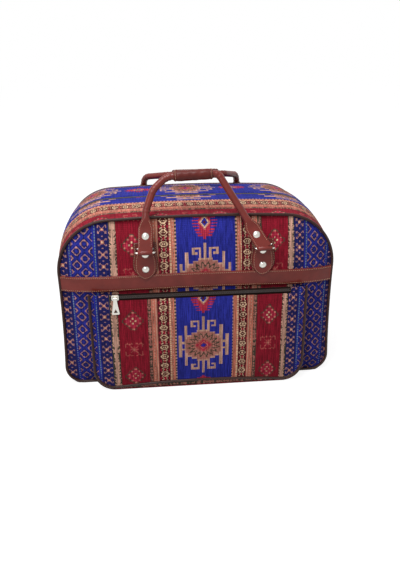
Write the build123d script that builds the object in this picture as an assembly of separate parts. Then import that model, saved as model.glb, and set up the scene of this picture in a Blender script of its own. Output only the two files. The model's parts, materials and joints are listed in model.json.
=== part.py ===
from build123d import *
import math
import os

# Bag body. X is across the front, the front faces -Y, Z is up, and the bag stands on Z = 0
bag_width = 480.0        # over the fabric at the rims
rim_height = 307.0       # floor to the middle of the front rim
bag_depth = 222.0        # between the two piping lines
top_corner_radius = 91.0
bottom_corner_radius = 36.0
side_waist = 5.0         # how far the middle of each side is drawn in
top_arch = 9.0           # rise of the top edge from its ends to its middle
top_rise = 8.0           # the top gusset domes up between the rims
side_bulge = 4.0         # and the sides swell out
panel_crown = 20.0       # the stuffed front and back swell past their rims
panel_set_back = 1.0     # their edges start this far inside the rims
crown_steps = [(0, 0), (22, 0.45), (58, 0.86), (104, 1.0)]  # distance in from the edge, share of the crown
crown_rounding = 140.0   # the steps' corners shrink to nothing this far in
fabric = 1.8             # woven fabric with its backing
seat_gap = 0.2           # between pieces that are sewn or riveted together
strip_drop = 95.0        # from the rim height down to the seam between the lower gusset and the strips
floor_sink = 4.0         # the rounded bottom corners start this far below the floor, so the base sits flat

# Piping
piping_radius = 2.5
piping_tuck = 1.0        # its centre lies this far inside the fabric's outer face
piping_low_radius = 30.0 # its bottom corners
piping_floor_gap = 0.1

# Main zip, in the middle of the top
zip_slot = 12.0          # between the two top strips
tape_width = 15.0
tape_thickness = 0.7
coil_width = 5.6
coil_thickness = 2.2
slider_length = 12.0
slider_width = 9.6
slider_wall = 1.2
slider_clear = 0.5
slider_corner = 2.2
slider_start = 6.0       # degrees up the corner from level
bail_radius = 0.8
bail_span = 6.4          # clear length of the bail's bar
bail_foot = 1.4
bail_rise = 3.2          # bar's centre above the slider's top
puller_length = 29.0
puller_width = 13.0
puller_neck = 6.0
puller_thickness = 1.4
puller_wall = 1.1        # metal round the hole for the bail
puller_play = 0.3        # round the bail's bar
puller_eye = 5.0         # width of the eye on the bail
puller_flare = 6.0       # below the neck, where the puller widens
puller_chamfer = 1.5
puller_hole_low = 3.4    # triangular hole, from the puller's lower edge
puller_hole_high = 10.0

# Lining and base board
lining_gap = 5.0         # inside the fabric's outer face
lining_thickness = 0.8
board_thickness = 2.2
board_margin = 12.0

# Leather band across the panel
band_width = 27.0
band_bottom = 181.0      # at its ends
band_bow = 5.0           # it rises this much towards the middle
leather = 2.0

# Chapes that carry the handle rings
handle_shift = 9.5       # the handles sit a little right of the middle
chape_half_spacing = 98.5
chape_base_width = 44.0
chape_base_top = 266.0
tab_width = 35.0
tab_tip = 203.0
tab_tip_half = 11.6      # half width of the tab a little above its tip
tab_tip_rise = 8.0
tab_widest = 224.0
tab_shoulder = 240.0
tab_shoulder_half = 16.8
loop_height = 258.0      # axis of the loop that holds the ring
loop_width = 24.0
loop_leather = 2.3
lower_rivet = 222.0
upper_rivet = 247.0

# Rings
ring_wire = 1.5          # radius
ring_width = 32.0        # between the centres of its sides
ring_reach = 16.0        # between the centres of its two bars
ring_corner = 3.5
ring_play = 0.25         # round the wire, in the leather loops
ring_droop = 6.0         # degrees below level

# Handles. Their outlines are points seen from the front: x, and the distance up the leaning loop
front_outline = [(-85, 68), (-72, 102), (-49.5, 122.5), (35.5, 125.5)]
front_radii = [40, 40, 30, 14]
back_outline = [(-84, 74), (-40, 125), (66, 125), (98, 74)]
back_radii = [26, 14, 14, 26]
strap_width = 24.0
strap_ply = 2.2
strap_corner = 2.0
strap_length = 38.0      # flat, riveted end
strap_taper = 21.0       # from flat to round
strap_rivet = 27.0
tube_radius = 6.0
tube_corner = 5.9        # of the taper's round end
tube_wall = 1.9
core_gap = 0.15
grip_length = 64.0
grip_radius = 9.0
front_lean = 22.0        # degrees back from upright
back_lean = 26.0
back_bend = 74.0         # along the leg, where the back handle droops over the top
back_droop = 75.0        # lean of the drooping part
wrap_length = 88.0
wrap_wall = 1.6
wrap_flap = 9.5          # flap height above the tube's axis

# Rivets
rivet_radius = 5.8
rivet_dome = 2.6
rivet_shank = 1.6
rivet_hole = 1.75
rivet_back = 4.0
rivet_back_thickness = 0.8

# Front pocket
pocket_reach = 33.0      # its piping line, in front of the bag's piping line
pocket_half_width = 185.0
pocket_centre = -1.0
pocket_base_half_width = 192.0
pocket_base_centre = 3.0
pocket_base_reach = 2.0
pocket_top = 184.0
pocket_floor_gap = 0.6
pocket_corner_radius = 36.0
pocket_hem_bow = 10.0    # the face's lower edge is drawn up in the middle
pocket_crown = 4.5
pocket_crown_steps = [(0, 0), (16, 0.45), (45, 1.0)]
pocket_piping_radius = 2.2
pocket_zip_height = 179.0
pocket_zip_left = -148.0
pocket_zip_right = 156.0
pocket_zip_slot = 10.0
tooth_pitch = 3.2
tooth_first = 0.6        # from the row's end to its first tooth
tooth_width = 1.3
tooth_taper = 0.16       # each flank slopes this much to its tip
tooth_back = 1.4         # from the centre line to the solid edge's near side
row_margin = 2.0         # between the zip opening's ends and the rows
tooth_reach = 1.0        # past the zip's centre line
tooth_root = 2.4         # from the centre line to the row's solid edge
tooth_thickness = 1.6
pocket_tape_width = 7.0
pocket_slider_end = 6.0  # closed slider's centre, from the zip's left end

rim = bag_depth / 2
half_width = bag_width / 2
through = 60.0           # long enough to pass right through any piece


def facing(y):
    """The upright plane at this y, with local x along X and local y along Z."""
    return Plane((0, y, 0), x_dir=(1, 0, 0), z_dir=(0, -1, 0))


def outline(half, bottom, top, top_radius, bottom_radius, waist, arch):
    """Rounded outline of the bag: flat bottom, waisted sides, arched top."""
    side_top = top - arch
    middle = (bottom + side_top) / 2
    face = make_face([
        Line((-half, bottom), (half, bottom)),
        ThreePointArc((half, bottom), (half - waist, middle), (half, side_top)),
        ThreePointArc((half, side_top), (0, top), (-half, side_top)),
        ThreePointArc((-half, side_top), (-half + waist, middle), (-half, bottom)),
    ])
    low = [v for v in face.vertices() if v.Y < middle]
    face = fillet(low, bottom_radius)
    high = [v for v in face.vertices() if v.Y > middle]
    return fillet(high, top_radius)


def rim_outline(inset, bottom):
    """The bag's outline at a rim, drawn in by inset."""
    return outline(half_width - inset, bottom, rim_height - inset, top_corner_radius - inset,
                   bottom_corner_radius - inset / 2, side_waist, top_arch)


def middle_outline(inset, bottom):
    """The bag's outline halfway between the rims."""
    return outline(half_width + side_bulge - inset, bottom, rim_height + top_rise - inset,
                   top_corner_radius - inset, bottom_corner_radius - inset / 2, side_waist, top_arch)


def body_block(inset, reach):
    """The bag's body without its crowned ends, drawn in by inset, from -reach to reach."""
    block = loft([facing(-rim) * rim_outline(inset, -floor_sink),
                  facing(0) * middle_outline(inset, -floor_sink),
                  facing(rim) * rim_outline(inset, -floor_sink)])
    keep = Pos(0, 0, inset + rim_height) * Box(2 * bag_width, 2 * reach, 2 * rim_height)
    return block & keep


def piping(path, radius):
    """A round cord along a path."""
    start = Plane(origin=path @ 0, z_dir=path % 0)
    return sweep(start * Circle(radius), path=path)


# Gusset: sides and base in one strip, and two strips over the top with the zip between them
shoulder_height = rim_height - strip_drop
edge_room = piping_radius + seat_gap
gusset_reach = rim - edge_room
gusset_ring = body_block(0, gusset_reach) - body_block(fabric, gusset_reach)
lower_side = Pos(0, 0, shoulder_height / 2) * Box(2 * bag_width, bag_depth, shoulder_height)
upper_side = Pos(0, 0, shoulder_height + rim_height / 2) * Box(2 * bag_width, bag_depth, rim_height)
lower_gusset = gusset_ring & lower_side
top_ring = gusset_ring & upper_side
strip_width = gusset_reach - zip_slot / 2
strip_middle = zip_slot / 2 + strip_width / 2
strip_space = Box(2 * bag_width, strip_width, 4 * rim_height)
top_strip_front = top_ring & (Pos(0, -strip_middle, 0) * strip_space)
top_strip_rear = top_ring & (Pos(0, strip_middle, 0) * strip_space)

# Main zip
tape_inset = fabric + seat_gap
tape_ring = (body_block(tape_inset, rim) - body_block(tape_inset + tape_thickness, rim)) & upper_side
tape_edge = coil_width / 2 + seat_gap
tape_space = Box(2 * bag_width, tape_width, 4 * rim_height)
main_tape_front = tape_ring & (Pos(0, -tape_edge - tape_width / 2, 0) * tape_space)
main_tape_rear = tape_ring & (Pos(0, tape_edge + tape_width / 2, 0) * tape_space)
coil_top = tape_inset + tape_thickness - coil_thickness
coil_ring = body_block(coil_top, rim) - body_block(coil_top + coil_thickness, rim)
main_coil = coil_ring & upper_side & Box(2 * bag_width, coil_width, 4 * rim_height)

# Lining sack, open under the zip, and the board under it
lining_reach = rim - lining_gap
lining = body_block(lining_gap, lining_reach)
lining -= body_block(lining_gap + lining_thickness, lining_reach - lining_thickness)
mouth = 2 * (tape_edge + tape_width + seat_gap)
lining -= upper_side & Box(2 * bag_width, mouth, 4 * rim_height)
board_top = lining_gap - seat_gap
board_low = board_top - board_thickness
board_size = (bag_width - 2 * bottom_corner_radius, bag_depth - 2 * board_margin)
base_board = Pos(0, 0, (board_top + board_low) / 2) * extrude(
    RectangleRounded(*board_size, board_margin), board_thickness / 2, both=True)

# Crowned panel, and the solid behind its face that cuts whatever lies on it
panel_tuck = piping_tuck + piping_radius + seat_gap
panel_top_radius = top_corner_radius - panel_tuck
panel_low_radius = piping_low_radius - piping_radius - seat_gap
panel_base = rim - panel_set_back
panel_back = 14.0        # the solid behind a panel's face runs back this far


def panel_section(inset, share):
    draw_in = panel_tuck + inset
    bottom = 2 * piping_radius + piping_floor_gap + seat_gap + inset
    face = outline(half_width - draw_in, bottom, rim_height - draw_in,
                   panel_top_radius * (1 - inset / crown_rounding), panel_low_radius, side_waist, top_arch)
    return facing(-panel_base - panel_crown * share) * face


panel_dome = loft([panel_section(*step) for step in crown_steps])
panel_foot = extrude(panel_section(*crown_steps[0]), -panel_back)
panel_solid = panel_dome + panel_foot
front_panel = panel_dome - Pos(0, fabric, 0) * panel_solid


def on_panel(x, z):
    """The plane that touches the front panel's outer face at this x and z, facing outwards."""
    hits = panel_dome.find_intersection_points(Axis((x, -bag_width, z), (0, 1, 0)))
    point, normal = min(hits, key=lambda hit: hit[0].Y)
    return Plane(point, x_dir=(1, 0, 0), z_dir=normal if normal.Y < 0 else -normal)


def laid(region, low, high):
    """A layer on the front panel, from low to high above its face, within a region of x and z."""
    prism = extrude(facing(-panel_base + panel_back) * region, panel_crown + through)
    return ((Pos(0, -high, 0) * panel_solid) - (Pos(0, -low, 0) * panel_solid)) & prism


front_piping = piping(
    (facing(-rim) * outline(half_width - piping_tuck, piping_radius + piping_floor_gap,
                            rim_height - piping_tuck, top_corner_radius - piping_tuck,
                            piping_low_radius, side_waist, top_arch)).wire(),
    piping_radius)

# Leather band
def band_region(grow):
    low, high = band_bottom - grow, band_bottom + band_width + grow
    return make_face([
        ThreePointArc((-half_width, low), (0, low + band_bow), (half_width, low)),
        Line((half_width, low), (half_width, high)),
        ThreePointArc((half_width, high), (0, high + band_bow), (-half_width, high)),
        Line((-half_width, high), (-half_width, low)),
    ])


front_band = laid(band_region(0), seat_gap, seat_gap + leather)

# Chapes
patch_top = seat_gap + leather
tab_low = patch_top + seat_gap
tab_high = tab_low + loop_leather
loop_hole = ring_wire + ring_play
loop_outer = loop_hole + loop_leather
chape_x = [handle_shift - chape_half_spacing, handle_shift + chape_half_spacing]
loop_y = min(on_panel(x, loop_height).origin.Y for x in chape_x) - tab_low - loop_outer


def chape_base_region(x):
    half = chape_base_width / 2
    low = band_bottom + band_bow
    region = make_face([
        Line((x - half, low + half), (x - half, chape_base_top)),
        Line((x - half, chape_base_top), (x + half, chape_base_top)),
        Line((x + half, chape_base_top), (x + half, low + half)),
        ThreePointArc((x + half, low + half), (x, low), (x - half, low + half)),
    ])
    return region - band_region(seat_gap)


def tab_region(x):
    """A pointed oval from its tip up to the loop."""
    wide, narrow = tab_width / 2, loop_width / 2
    tip_side = tab_tip + tab_tip_rise
    return make_face([
        ThreePointArc((x, tab_tip), (x + tab_tip_half, tip_side), (x + wide, tab_widest)),
        Spline((x + wide, tab_widest), (x + tab_shoulder_half, tab_shoulder), (x + narrow, loop_height),
               tangents=((0, 1), (-0.15, 1))),
        Line((x + narrow, loop_height), (x - narrow, loop_height)),
        Spline((x - narrow, loop_height), (x - tab_shoulder_half, tab_shoulder), (x - wide, tab_widest),
               tangents=((-0.15, -1), (0, -1))),
        ThreePointArc((x - wide, tab_widest), (x - tab_tip_half, tip_side), (x, tab_tip)),
    ])


def across(x, y, z, radius, length):
    """A round bar along X, centred on a point."""
    return Pos(x, y, z) * Rot(0, 90, 0) * Cylinder(radius, length)


def rivet(top, bottom):
    """A rivet along Z, its dome seated at top and its back cap at bottom."""
    ball = (rivet_radius ** 2 + rivet_dome ** 2) / (2 * rivet_dome)
    dome = Pos(0, 0, top + rivet_dome - ball) * Sphere(ball)
    dome &= Pos(0, 0, top + rivet_dome) * Box(3 * ball, 3 * ball, 2 * rivet_dome)
    shank = Pos(0, 0, (top + bottom) / 2) * Cylinder(rivet_shank, top - bottom)
    cap = Pos(0, 0, bottom - rivet_back_thickness / 2) * Cylinder(rivet_back, rivet_back_thickness)
    return dome + shank + cap


chape_bases, chape_tabs, chape_rivets, rivet_bores = [], [], [], []
for x in chape_x:
    base = laid(chape_base_region(x), seat_gap, patch_top)
    tab = laid(tab_region(x), tab_low, tab_high) + across(x, loop_y, loop_height, loop_outer, loop_width)
    tab -= across(x, loop_y, loop_height, loop_hole, 2 * loop_width)
    for z in (lower_rivet, upper_rivet):
        seat = on_panel(x, z)
        bore = seat * Cylinder(rivet_hole, through)
        base -= bore
        tab -= bore
        rivet_bores.append(bore)
        chape_rivets.append(seat * rivet(tab_high + seat_gap, -fabric - seat_gap))
    chape_bases.append(base)
    chape_tabs.append(tab)
for bore in rivet_bores:
    front_panel -= bore

back_panel = mirror(front_panel, about=Plane.XZ)
back_piping = mirror(front_piping, about=Plane.XZ)
back_band = mirror(front_band, about=Plane.XZ)

# Rings
droop = math.radians(ring_droop)
bar_y = loop_y - ring_reach * math.cos(droop)
bar_z = loop_height - ring_reach * math.sin(droop)
ring_path = RectangleRounded(ring_width, ring_reach, ring_corner).wire()


def ring(x):
    """A wire ring whose far bar rests ring_droop below level."""
    middle = ((loop_y + bar_y) / 2, (loop_height + bar_z) / 2)
    return Pos(x, *middle) * Rot(ring_droop, 0, 0) * piping(ring_path, ring_wire)


# Handles
def handle_points(inner, lean, bend, droop_lean):
    """The handle's corners in space, from bar to bar, leaning towards +Y.

    Up to bend along the loop it leans by lean, and beyond it by droop_lean."""
    low, high = math.radians(lean), math.radians(droop_lean)
    points = []
    for x, up in [(chape_x[0], 0)] + inner + [(chape_x[1], 0)]:
        leg = min(up, bend)
        rest = up - leg
        points.append(Vector(x, bar_y + leg * math.sin(low) + rest * math.sin(high),
                             bar_z + leg * math.cos(low) + rest * math.cos(high)))
    return points


def flat_end(foot, toward, lean):
    """A flat strap end folded round the ring's bar, with its taper to the tube.

    Returns the solid, the point where the tube starts, and the rivet's place."""
    along = (toward - foot).normalized()
    normal = Vector(0, -math.cos(math.radians(lean)), math.sin(math.radians(lean)))
    side = normal.cross(along).normalized()
    half = strap_width / 2 * abs(side.X)
    end = foot + along * strap_length
    tip = end + along * strap_taper
    corners = [foot + Vector(strap_width / 2, 0, 0), end + side * half * math.copysign(1, side.X),
               end - side * half * math.copysign(1, side.X), foot - Vector(strap_width / 2, 0, 0)]
    flat = extrude(make_face(Polyline(*corners, close=True)), strap_ply, dir=normal, both=True)
    loop = across(foot.X, foot.Y, foot.Z, loop_hole + strap_ply, strap_width)
    taper = loft([Plane(end, x_dir=side, z_dir=along)
                  * RectangleRounded(2 * half, 2 * strap_ply, strap_corner),
                  Plane(tip, x_dir=side, z_dir=along)
                  * RectangleRounded(2 * tube_radius, 2 * tube_radius, tube_corner)])
    place = Plane(foot + along * strap_rivet, x_dir=side, z_dir=normal)
    bore = place * Cylinder(rivet_hole, through)
    solid = flat + loop + taper - across(foot.X, foot.Y, foot.Z, loop_hole, 2 * strap_width) - bore
    return solid, tip, place


def handle(points, radii, lean):
    """Leather cover, inner cord and rivets of one handle."""
    left, left_tip, left_rivet = flat_end(points[0], points[1], lean)
    right, right_tip, right_rivet = flat_end(points[-1], points[-2], lean)
    path = FilletPolyline(left_tip, *points[1:-1], right_tip, radius=radii)
    start = Plane(origin=path @ 0, z_dir=path % 0)
    tube = sweep(start * (Circle(tube_radius) - Circle(tube_radius - tube_wall)), path=path)
    cord = sweep(start * Circle(tube_radius - tube_wall - core_gap), path=path)
    rivets = [place * rivet(strap_ply + seat_gap, -strap_ply - seat_gap)
              for place in (left_rivet, right_rivet)]
    return left + tube + right, cord, rivets


def grip_plane(points, radii, first):
    """The plane across the straight grip, at its middle."""
    low, high = points[first], points[first + 1]
    along = (high - low).normalized()
    turn_low = math.tan(math.radians((low - points[first - 1]).get_angle(high - low)) / 2)
    turn_high = math.tan(math.radians((high - low).get_angle(points[first + 2] - high)) / 2)
    start = low + along * radii[first - 1] * turn_low
    end = high - along * radii[first] * turn_high
    print("straight", round((end - start).length, 1))
    return Plane((start + end) / 2, x_dir=Vector(0, 0, 1) - along * along.Z, z_dir=along)


front_points = handle_points(front_outline, front_lean, 0, front_lean)
front_handle, front_cord, front_rivets = handle(front_points, front_radii, front_lean)
front_grip = grip_plane(front_points, front_radii, 3) * extrude(
    Circle(grip_radius) - Circle(tube_radius + seat_gap), grip_length / 2, both=True)

back_points = handle_points(back_outline, back_lean, back_bend, back_droop)
back_handle, back_cord, back_rivets = handle(back_points, back_radii, back_lean)
wrap_inner = tube_radius + seat_gap
wrap_outer = wrap_inner + wrap_wall
wrap_section = (Circle(wrap_outer) + Pos(wrap_flap / 2, 0) * Rectangle(wrap_flap, 2 * wrap_outer))
wrap_section -= Circle(wrap_inner) + Pos(wrap_flap / 2, 0) * Rectangle(wrap_flap, 2 * wrap_inner)
back_wrap = grip_plane(back_points, back_radii, 2) * extrude(wrap_section, wrap_length / 2, both=True)

# Front pocket
pocket_rim = rim + pocket_reach
pocket_hem = pocket_floor_gap + pocket_piping_radius


def pocket_outline(half, centre, bottom, top, radius, bow):
    """Pocket outline: square top corners, rounded bottom ones, lower edge drawn up by bow."""
    left, right = centre - half, centre + half
    hem = Line((left, bottom), (right, bottom))
    if bow:
        hem = ThreePointArc((left, bottom), (centre, bottom + bow), (right, bottom))
    face = make_face([hem, Line((right, bottom), (right, top)), Line((right, top), (left, top)),
                      Line((left, top), (left, bottom))])
    return fillet([v for v in face.vertices() if v.Y < (bottom + top) / 2], radius)


def pocket_block(inset):
    """The pocket from its piping line back into the bag, drawn in by inset."""
    low, top = pocket_floor_gap + inset, pocket_top - inset
    radius = pocket_corner_radius - inset
    front = pocket_outline(pocket_half_width - inset, pocket_centre, low, top, radius, 0)
    base = pocket_outline(pocket_base_half_width - inset, pocket_base_centre, low, top, radius, 0)
    return loft([facing(-pocket_rim + pocket_piping_radius + seat_gap) * front,
                 facing(-rim + pocket_base_reach) * base], ruled=True)


def pocket_face_outline(grow, crown_inset=0):
    """Outline on the pocket's piping line, grown by a distance."""
    return pocket_outline(pocket_half_width - piping_tuck + grow - crown_inset, pocket_centre,
                          pocket_hem - grow + crown_inset, pocket_top + min(grow, 0) - crown_inset,
                          pocket_corner_radius + grow - crown_inset / 3, pocket_hem_bow)


pocket_gusset = pocket_block(0) - pocket_block(fabric)
lip_gap = pocket_piping_radius + seat_gap
lip = extrude(facing(-pocket_rim + lip_gap) * (
    pocket_outline(pocket_half_width, pocket_centre, pocket_floor_gap, pocket_top, pocket_corner_radius, 0)
    - pocket_face_outline(-lip_gap)), -fabric)
pocket_gusset += lip & (Pos(0, 0, pocket_hem_bow / 2) * Box(2 * bag_width, 4 * rim, 2 * pocket_hem_bow))
pocket_gusset -= Pos(0, -seat_gap, 0) * panel_solid
pocket_gusset -= laid(band_region(seat_gap), 0, leather + 2 * seat_gap)
behind_piping = rim + edge_room
pocket_gusset &= Pos(0, -behind_piping - rim, 0) * Box(2 * bag_width, 2 * rim, 4 * rim_height)

pocket_loop = pocket_outline(pocket_half_width - piping_tuck, pocket_centre, pocket_hem,
                             pocket_top + 2 * pocket_corner_radius, pocket_corner_radius, pocket_hem_bow)
pocket_loop = fillet([v for v in pocket_loop.vertices() if v.Y > pocket_top], pocket_corner_radius)
pocket_piping = piping((facing(-pocket_rim) * pocket_loop).wire(), pocket_piping_radius)
pocket_piping &= Pos(0, 0, pocket_top / 2) * Box(2 * bag_width, 4 * pocket_rim, pocket_top)

face_tuck = pocket_piping_radius + seat_gap
face_base = pocket_rim - face_tuck + fabric + seat_gap
pocket_dome = loft([facing(-face_base - pocket_crown * share) * pocket_face_outline(-face_tuck, inset)
                    for inset, share in pocket_crown_steps])
pocket_face = pocket_dome - Pos(0, fabric, 0) * (
    pocket_dome + extrude(facing(-face_base) * pocket_face_outline(-face_tuck), -6))
zip_low = pocket_zip_height - pocket_zip_slot / 2
zip_middle = (pocket_zip_left + pocket_zip_right) / 2
zip_length = pocket_zip_right - pocket_zip_left
pocket_face -= Pos(zip_middle, -pocket_rim, zip_low + rim / 2) * Box(zip_length, rim, rim)

# Pocket zip
tape_front = pocket_rim - face_tuck + seat_gap + tape_thickness
tape_reach = pocket_top - pocket_zip_height


def pocket_tape(low, high):
    return Pos(zip_middle, -tape_front + tape_thickness / 2, (low + high) / 2) * Box(
        zip_length - 2 * seat_gap, tape_thickness, high - low)


pocket_tape_upper = pocket_tape(pocket_zip_height + seat_gap, pocket_zip_height + tape_reach)
pocket_tape_lower = pocket_tape(pocket_zip_height - pocket_tape_width, pocket_zip_height - seat_gap)


def tooth_row(side, start):
    """One row of teeth: a solid edge with a tooth at every pitch, reaching past the centre line."""
    root, back = side * tooth_root, side * tooth_back
    tip = -side * tooth_reach
    left, right = pocket_zip_left + row_margin, pocket_zip_right - row_margin
    points = [(left, root), (left, back)]
    x = left + start
    while x + tooth_width < right:
        points += [(x, back), (x + tooth_taper, tip), (x + tooth_width - tooth_taper, tip),
                   (x + tooth_width, back)]
        x += tooth_pitch
    points += [(right, back), (right, root)]
    row = make_face(Polyline(*[(px, pocket_zip_height + pz) for px, pz in points], close=True))
    return extrude(facing(-tape_front - seat_gap) * row, tooth_thickness)


pocket_teeth_upper = tooth_row(1, tooth_first)
pocket_teeth_lower = tooth_row(-1, tooth_first + tooth_pitch / 2)


def slider(bail_turn):
    """A saddle over the zip: local x along the zip, y across it, z outwards from the tape.

    The bail's bar lies along the zip, or across it where it is turned by 90 degrees."""
    height = tooth_thickness + slider_clear
    body = Pos(0, 0, height / 2 + slider_wall / 2) * Box(slider_length, slider_width, height + slider_wall)
    body = fillet(body.edges().filter_by(Axis.Z), slider_corner)
    inside = slider_width - 2 * slider_wall
    body -= Pos(0, 0, height / 2) * Box(2 * slider_length, inside, height)
    bar = height + slider_wall + bail_rise
    turn = Rot(0, 0, bail_turn)
    body += turn * Pos(0, 0, bar) * Rot(0, 90, 0) * Cylinder(bail_radius, bail_span + bail_foot)
    foot = Box(bail_foot, 2 * bail_radius, bail_rise + bail_radius)
    foot_height = bar + bail_radius - (bail_rise + bail_radius) / 2
    for end in (-1, 1):
        body += turn * Pos(end * (bail_span + bail_foot) / 2, 0, foot_height) * foot
    return body, bar


def puller():
    """A flat puller that hangs along -y from a bar along x, its face towards z."""
    hole = bail_radius + puller_play
    eye = Rot(0, 90, 0) * Cylinder(hole + puller_wall, puller_eye)
    half_top, half_low = puller_neck / 2, puller_width / 2
    neck = -hole - puller_wall / 2
    flare = neck - puller_flare
    low = -puller_length
    plate = make_face(Polyline((-half_top, neck), (half_top, neck), (half_top + puller_play, flare),
                               (half_low, low + puller_chamfer), (half_low - puller_chamfer, low),
                               (puller_chamfer - half_low, low), (-half_low, low + puller_chamfer),
                               (-half_top - puller_play, flare), close=True))
    base = low + puller_hole_low
    plate -= make_face(Polyline((0, low + puller_hole_high), (puller_hole_low, base),
                                (-puller_hole_low, base), close=True))
    body = eye + extrude(plate, puller_thickness / 2, both=True)
    return body - Rot(0, 90, 0) * Cylinder(hole, 2 * puller_neck)


slider_body, bar_height = slider(0)
on_pocket = Plane((pocket_zip_left + pocket_slider_end, -tape_front - seat_gap, pocket_zip_height),
                  x_dir=(1, 0, 0), z_dir=(0, -1, 0))
pocket_slider = on_pocket * slider_body
pocket_puller = on_pocket * Pos(0, 0, bar_height) * puller()
pocket_bar = (on_pocket * Pos(0, 0, bar_height)).position

# The main slider rides round the right-hand top corner, so its track is that corner's arc
corner = [edge for edge in middle_outline(coil_top, 0).edges().filter_by(GeomType.CIRCLE)
          if abs(edge.radius - top_corner_radius + coil_top) < 0.01 and edge.center().X > 0][0]
track_centre = corner.arc_center
track_radius = corner.radius
angle = math.radians(slider_start)
outwards = Vector(math.cos(angle), 0, math.sin(angle))
along_track = Vector(-math.sin(angle), 0, math.cos(angle))
ride_radius = track_radius - (tape_inset - seat_gap - coil_top)
track_point = Vector(track_centre.X, 0, track_centre.Y) + outwards * ride_radius
on_track = Plane(track_point, x_dir=along_track, z_dir=outwards)
main_slider = on_track * slider(90)[0]
main_puller = on_track * Pos(0, 0, bar_height) * Rot(0, 0, -90) * puller()
main_bar = (on_track * Pos(0, 0, bar_height)).position


def to_back(shape):
    """The same piece on the back of the bag."""
    return mirror(shape, about=Plane.XZ)


nodes = {
    "lower_gusset": lower_gusset, "top_strip_front": top_strip_front, "top_strip_rear": top_strip_rear,
    "front_panel": front_panel, "back_panel": back_panel,
    "front_piping": front_piping, "back_piping": back_piping,
    "main_zip_tape_front": main_tape_front, "main_zip_tape_rear": main_tape_rear,
    "main_zip_coil": main_coil, "main_zip_slider": main_slider, "main_zip_puller": main_puller,
    "lining": lining, "base_board": base_board, "front_band": front_band, "back_band": back_band,
    "front_chape_rivets": chape_rivets, "back_chape_rivets": [to_back(r) for r in chape_rivets],
    "front_handle": front_handle, "front_handle_cord": front_cord, "front_handle_grip": front_grip,
    "front_handle_rivets": front_rivets,
    "back_handle": to_back(back_handle), "back_handle_cord": to_back(back_cord),
    "back_handle_wrap": to_back(back_wrap), "back_handle_rivets": [to_back(r) for r in back_rivets],
    "pocket_face": pocket_face, "pocket_gusset": pocket_gusset, "pocket_piping": pocket_piping,
    "pocket_zip_tape_upper": pocket_tape_upper, "pocket_zip_tape_lower": pocket_tape_lower,
    "pocket_zip_teeth_upper": pocket_teeth_upper, "pocket_zip_teeth_lower": pocket_teeth_lower,
    "pocket_zip_slider": pocket_slider, "pocket_zip_puller": pocket_puller,
}
for side, x, base, tab in zip(("left", "right"), chape_x, chape_bases, chape_tabs):
    nodes[f"front_chape_base_{side}"] = base
    nodes[f"front_chape_{side}"] = tab
    nodes[f"front_ring_{side}"] = ring(x)
    nodes[f"back_chape_base_{side}"] = to_back(base)
    nodes[f"back_chape_{side}"] = to_back(tab)
    nodes[f"back_ring_{side}"] = to_back(ring(x))

os.makedirs("parts", exist_ok=True)
for name, shape in nodes.items():
    solids = shape if isinstance(shape, list) else [shape]
    whole = Compound(children=[solid for item in solids for solid in item.solids()])
    export_step(whole, f"parts/{name}.step")

print("ring hinge y z", round(loop_y, 3), loop_height)
print("handle hinge y z", round(bar_y, 3), round(bar_z, 3))
print("pocket puller hinge", pocket_bar)
print("main slider track centre", track_centre, "radius", round(track_radius, 2))
print("main puller hinge", main_bar)
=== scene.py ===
import json
import math

import bmesh
import bpy
import numpy as np
from bpy.props import FloatProperty, FloatVectorProperty, IntProperty, PointerProperty
from mathutils import Matrix, Vector
from mathutils.bvhtree import BVHTree


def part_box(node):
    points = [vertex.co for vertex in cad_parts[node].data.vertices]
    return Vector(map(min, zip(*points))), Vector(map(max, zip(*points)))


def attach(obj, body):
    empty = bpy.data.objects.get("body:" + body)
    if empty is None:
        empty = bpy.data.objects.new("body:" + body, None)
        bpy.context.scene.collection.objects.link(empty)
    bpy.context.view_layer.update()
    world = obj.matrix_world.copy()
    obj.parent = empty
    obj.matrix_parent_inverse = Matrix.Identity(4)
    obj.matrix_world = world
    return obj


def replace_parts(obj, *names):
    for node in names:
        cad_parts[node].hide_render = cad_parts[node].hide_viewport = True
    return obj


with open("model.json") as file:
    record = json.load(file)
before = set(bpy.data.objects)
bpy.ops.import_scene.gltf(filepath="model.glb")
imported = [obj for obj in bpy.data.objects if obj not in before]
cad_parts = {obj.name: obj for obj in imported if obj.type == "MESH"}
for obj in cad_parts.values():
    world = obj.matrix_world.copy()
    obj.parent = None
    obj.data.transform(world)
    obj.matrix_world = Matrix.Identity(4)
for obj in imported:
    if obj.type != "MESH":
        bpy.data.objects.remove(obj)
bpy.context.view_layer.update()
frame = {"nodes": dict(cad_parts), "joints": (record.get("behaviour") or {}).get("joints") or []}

bl_info = {
    "name": "Kilim travel bag",
    "version": (1, 0, 0),
    "blender": (4, 5, 0),
    "location": "3D View > Sidebar > Bag",
    "description": "Dresses a boxy kilim travel bag with woven cloth, leather, zips and stitching",
    "category": "Object",
}

MM = 0.001
NODES = frame["nodes"]


def linear(code):
    """An sRGB hex colour as linear red, green and blue."""
    parts = [int(code[i:i + 2], 16) / 255 for i in (1, 3, 5)]
    return tuple(p / 12.92 if p <= 0.04045 else ((p + 0.055) / 1.055) ** 2.4 for p in parts)


def rgba(code):
    """The same colour with a fourth value, its opacity."""
    return (*linear(code), 1.0)


# Settings a user would change

class WEAVE_PG_settings(bpy.types.PropertyGroup):
    """Woven wool cloth"""
    cell: FloatProperty(name="Cell", description="Size of one woven cell", default=1.5 * MM, unit="LENGTH")
    ripple: FloatProperty(name="Ripple", description="How far the cloth puckers", default=1.6 * MM,
                          unit="LENGTH")
    streak: FloatProperty(name="Streaks", description="Strength of the light and dark warp streaks",
                          default=0.30, subtype="FACTOR")


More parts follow.
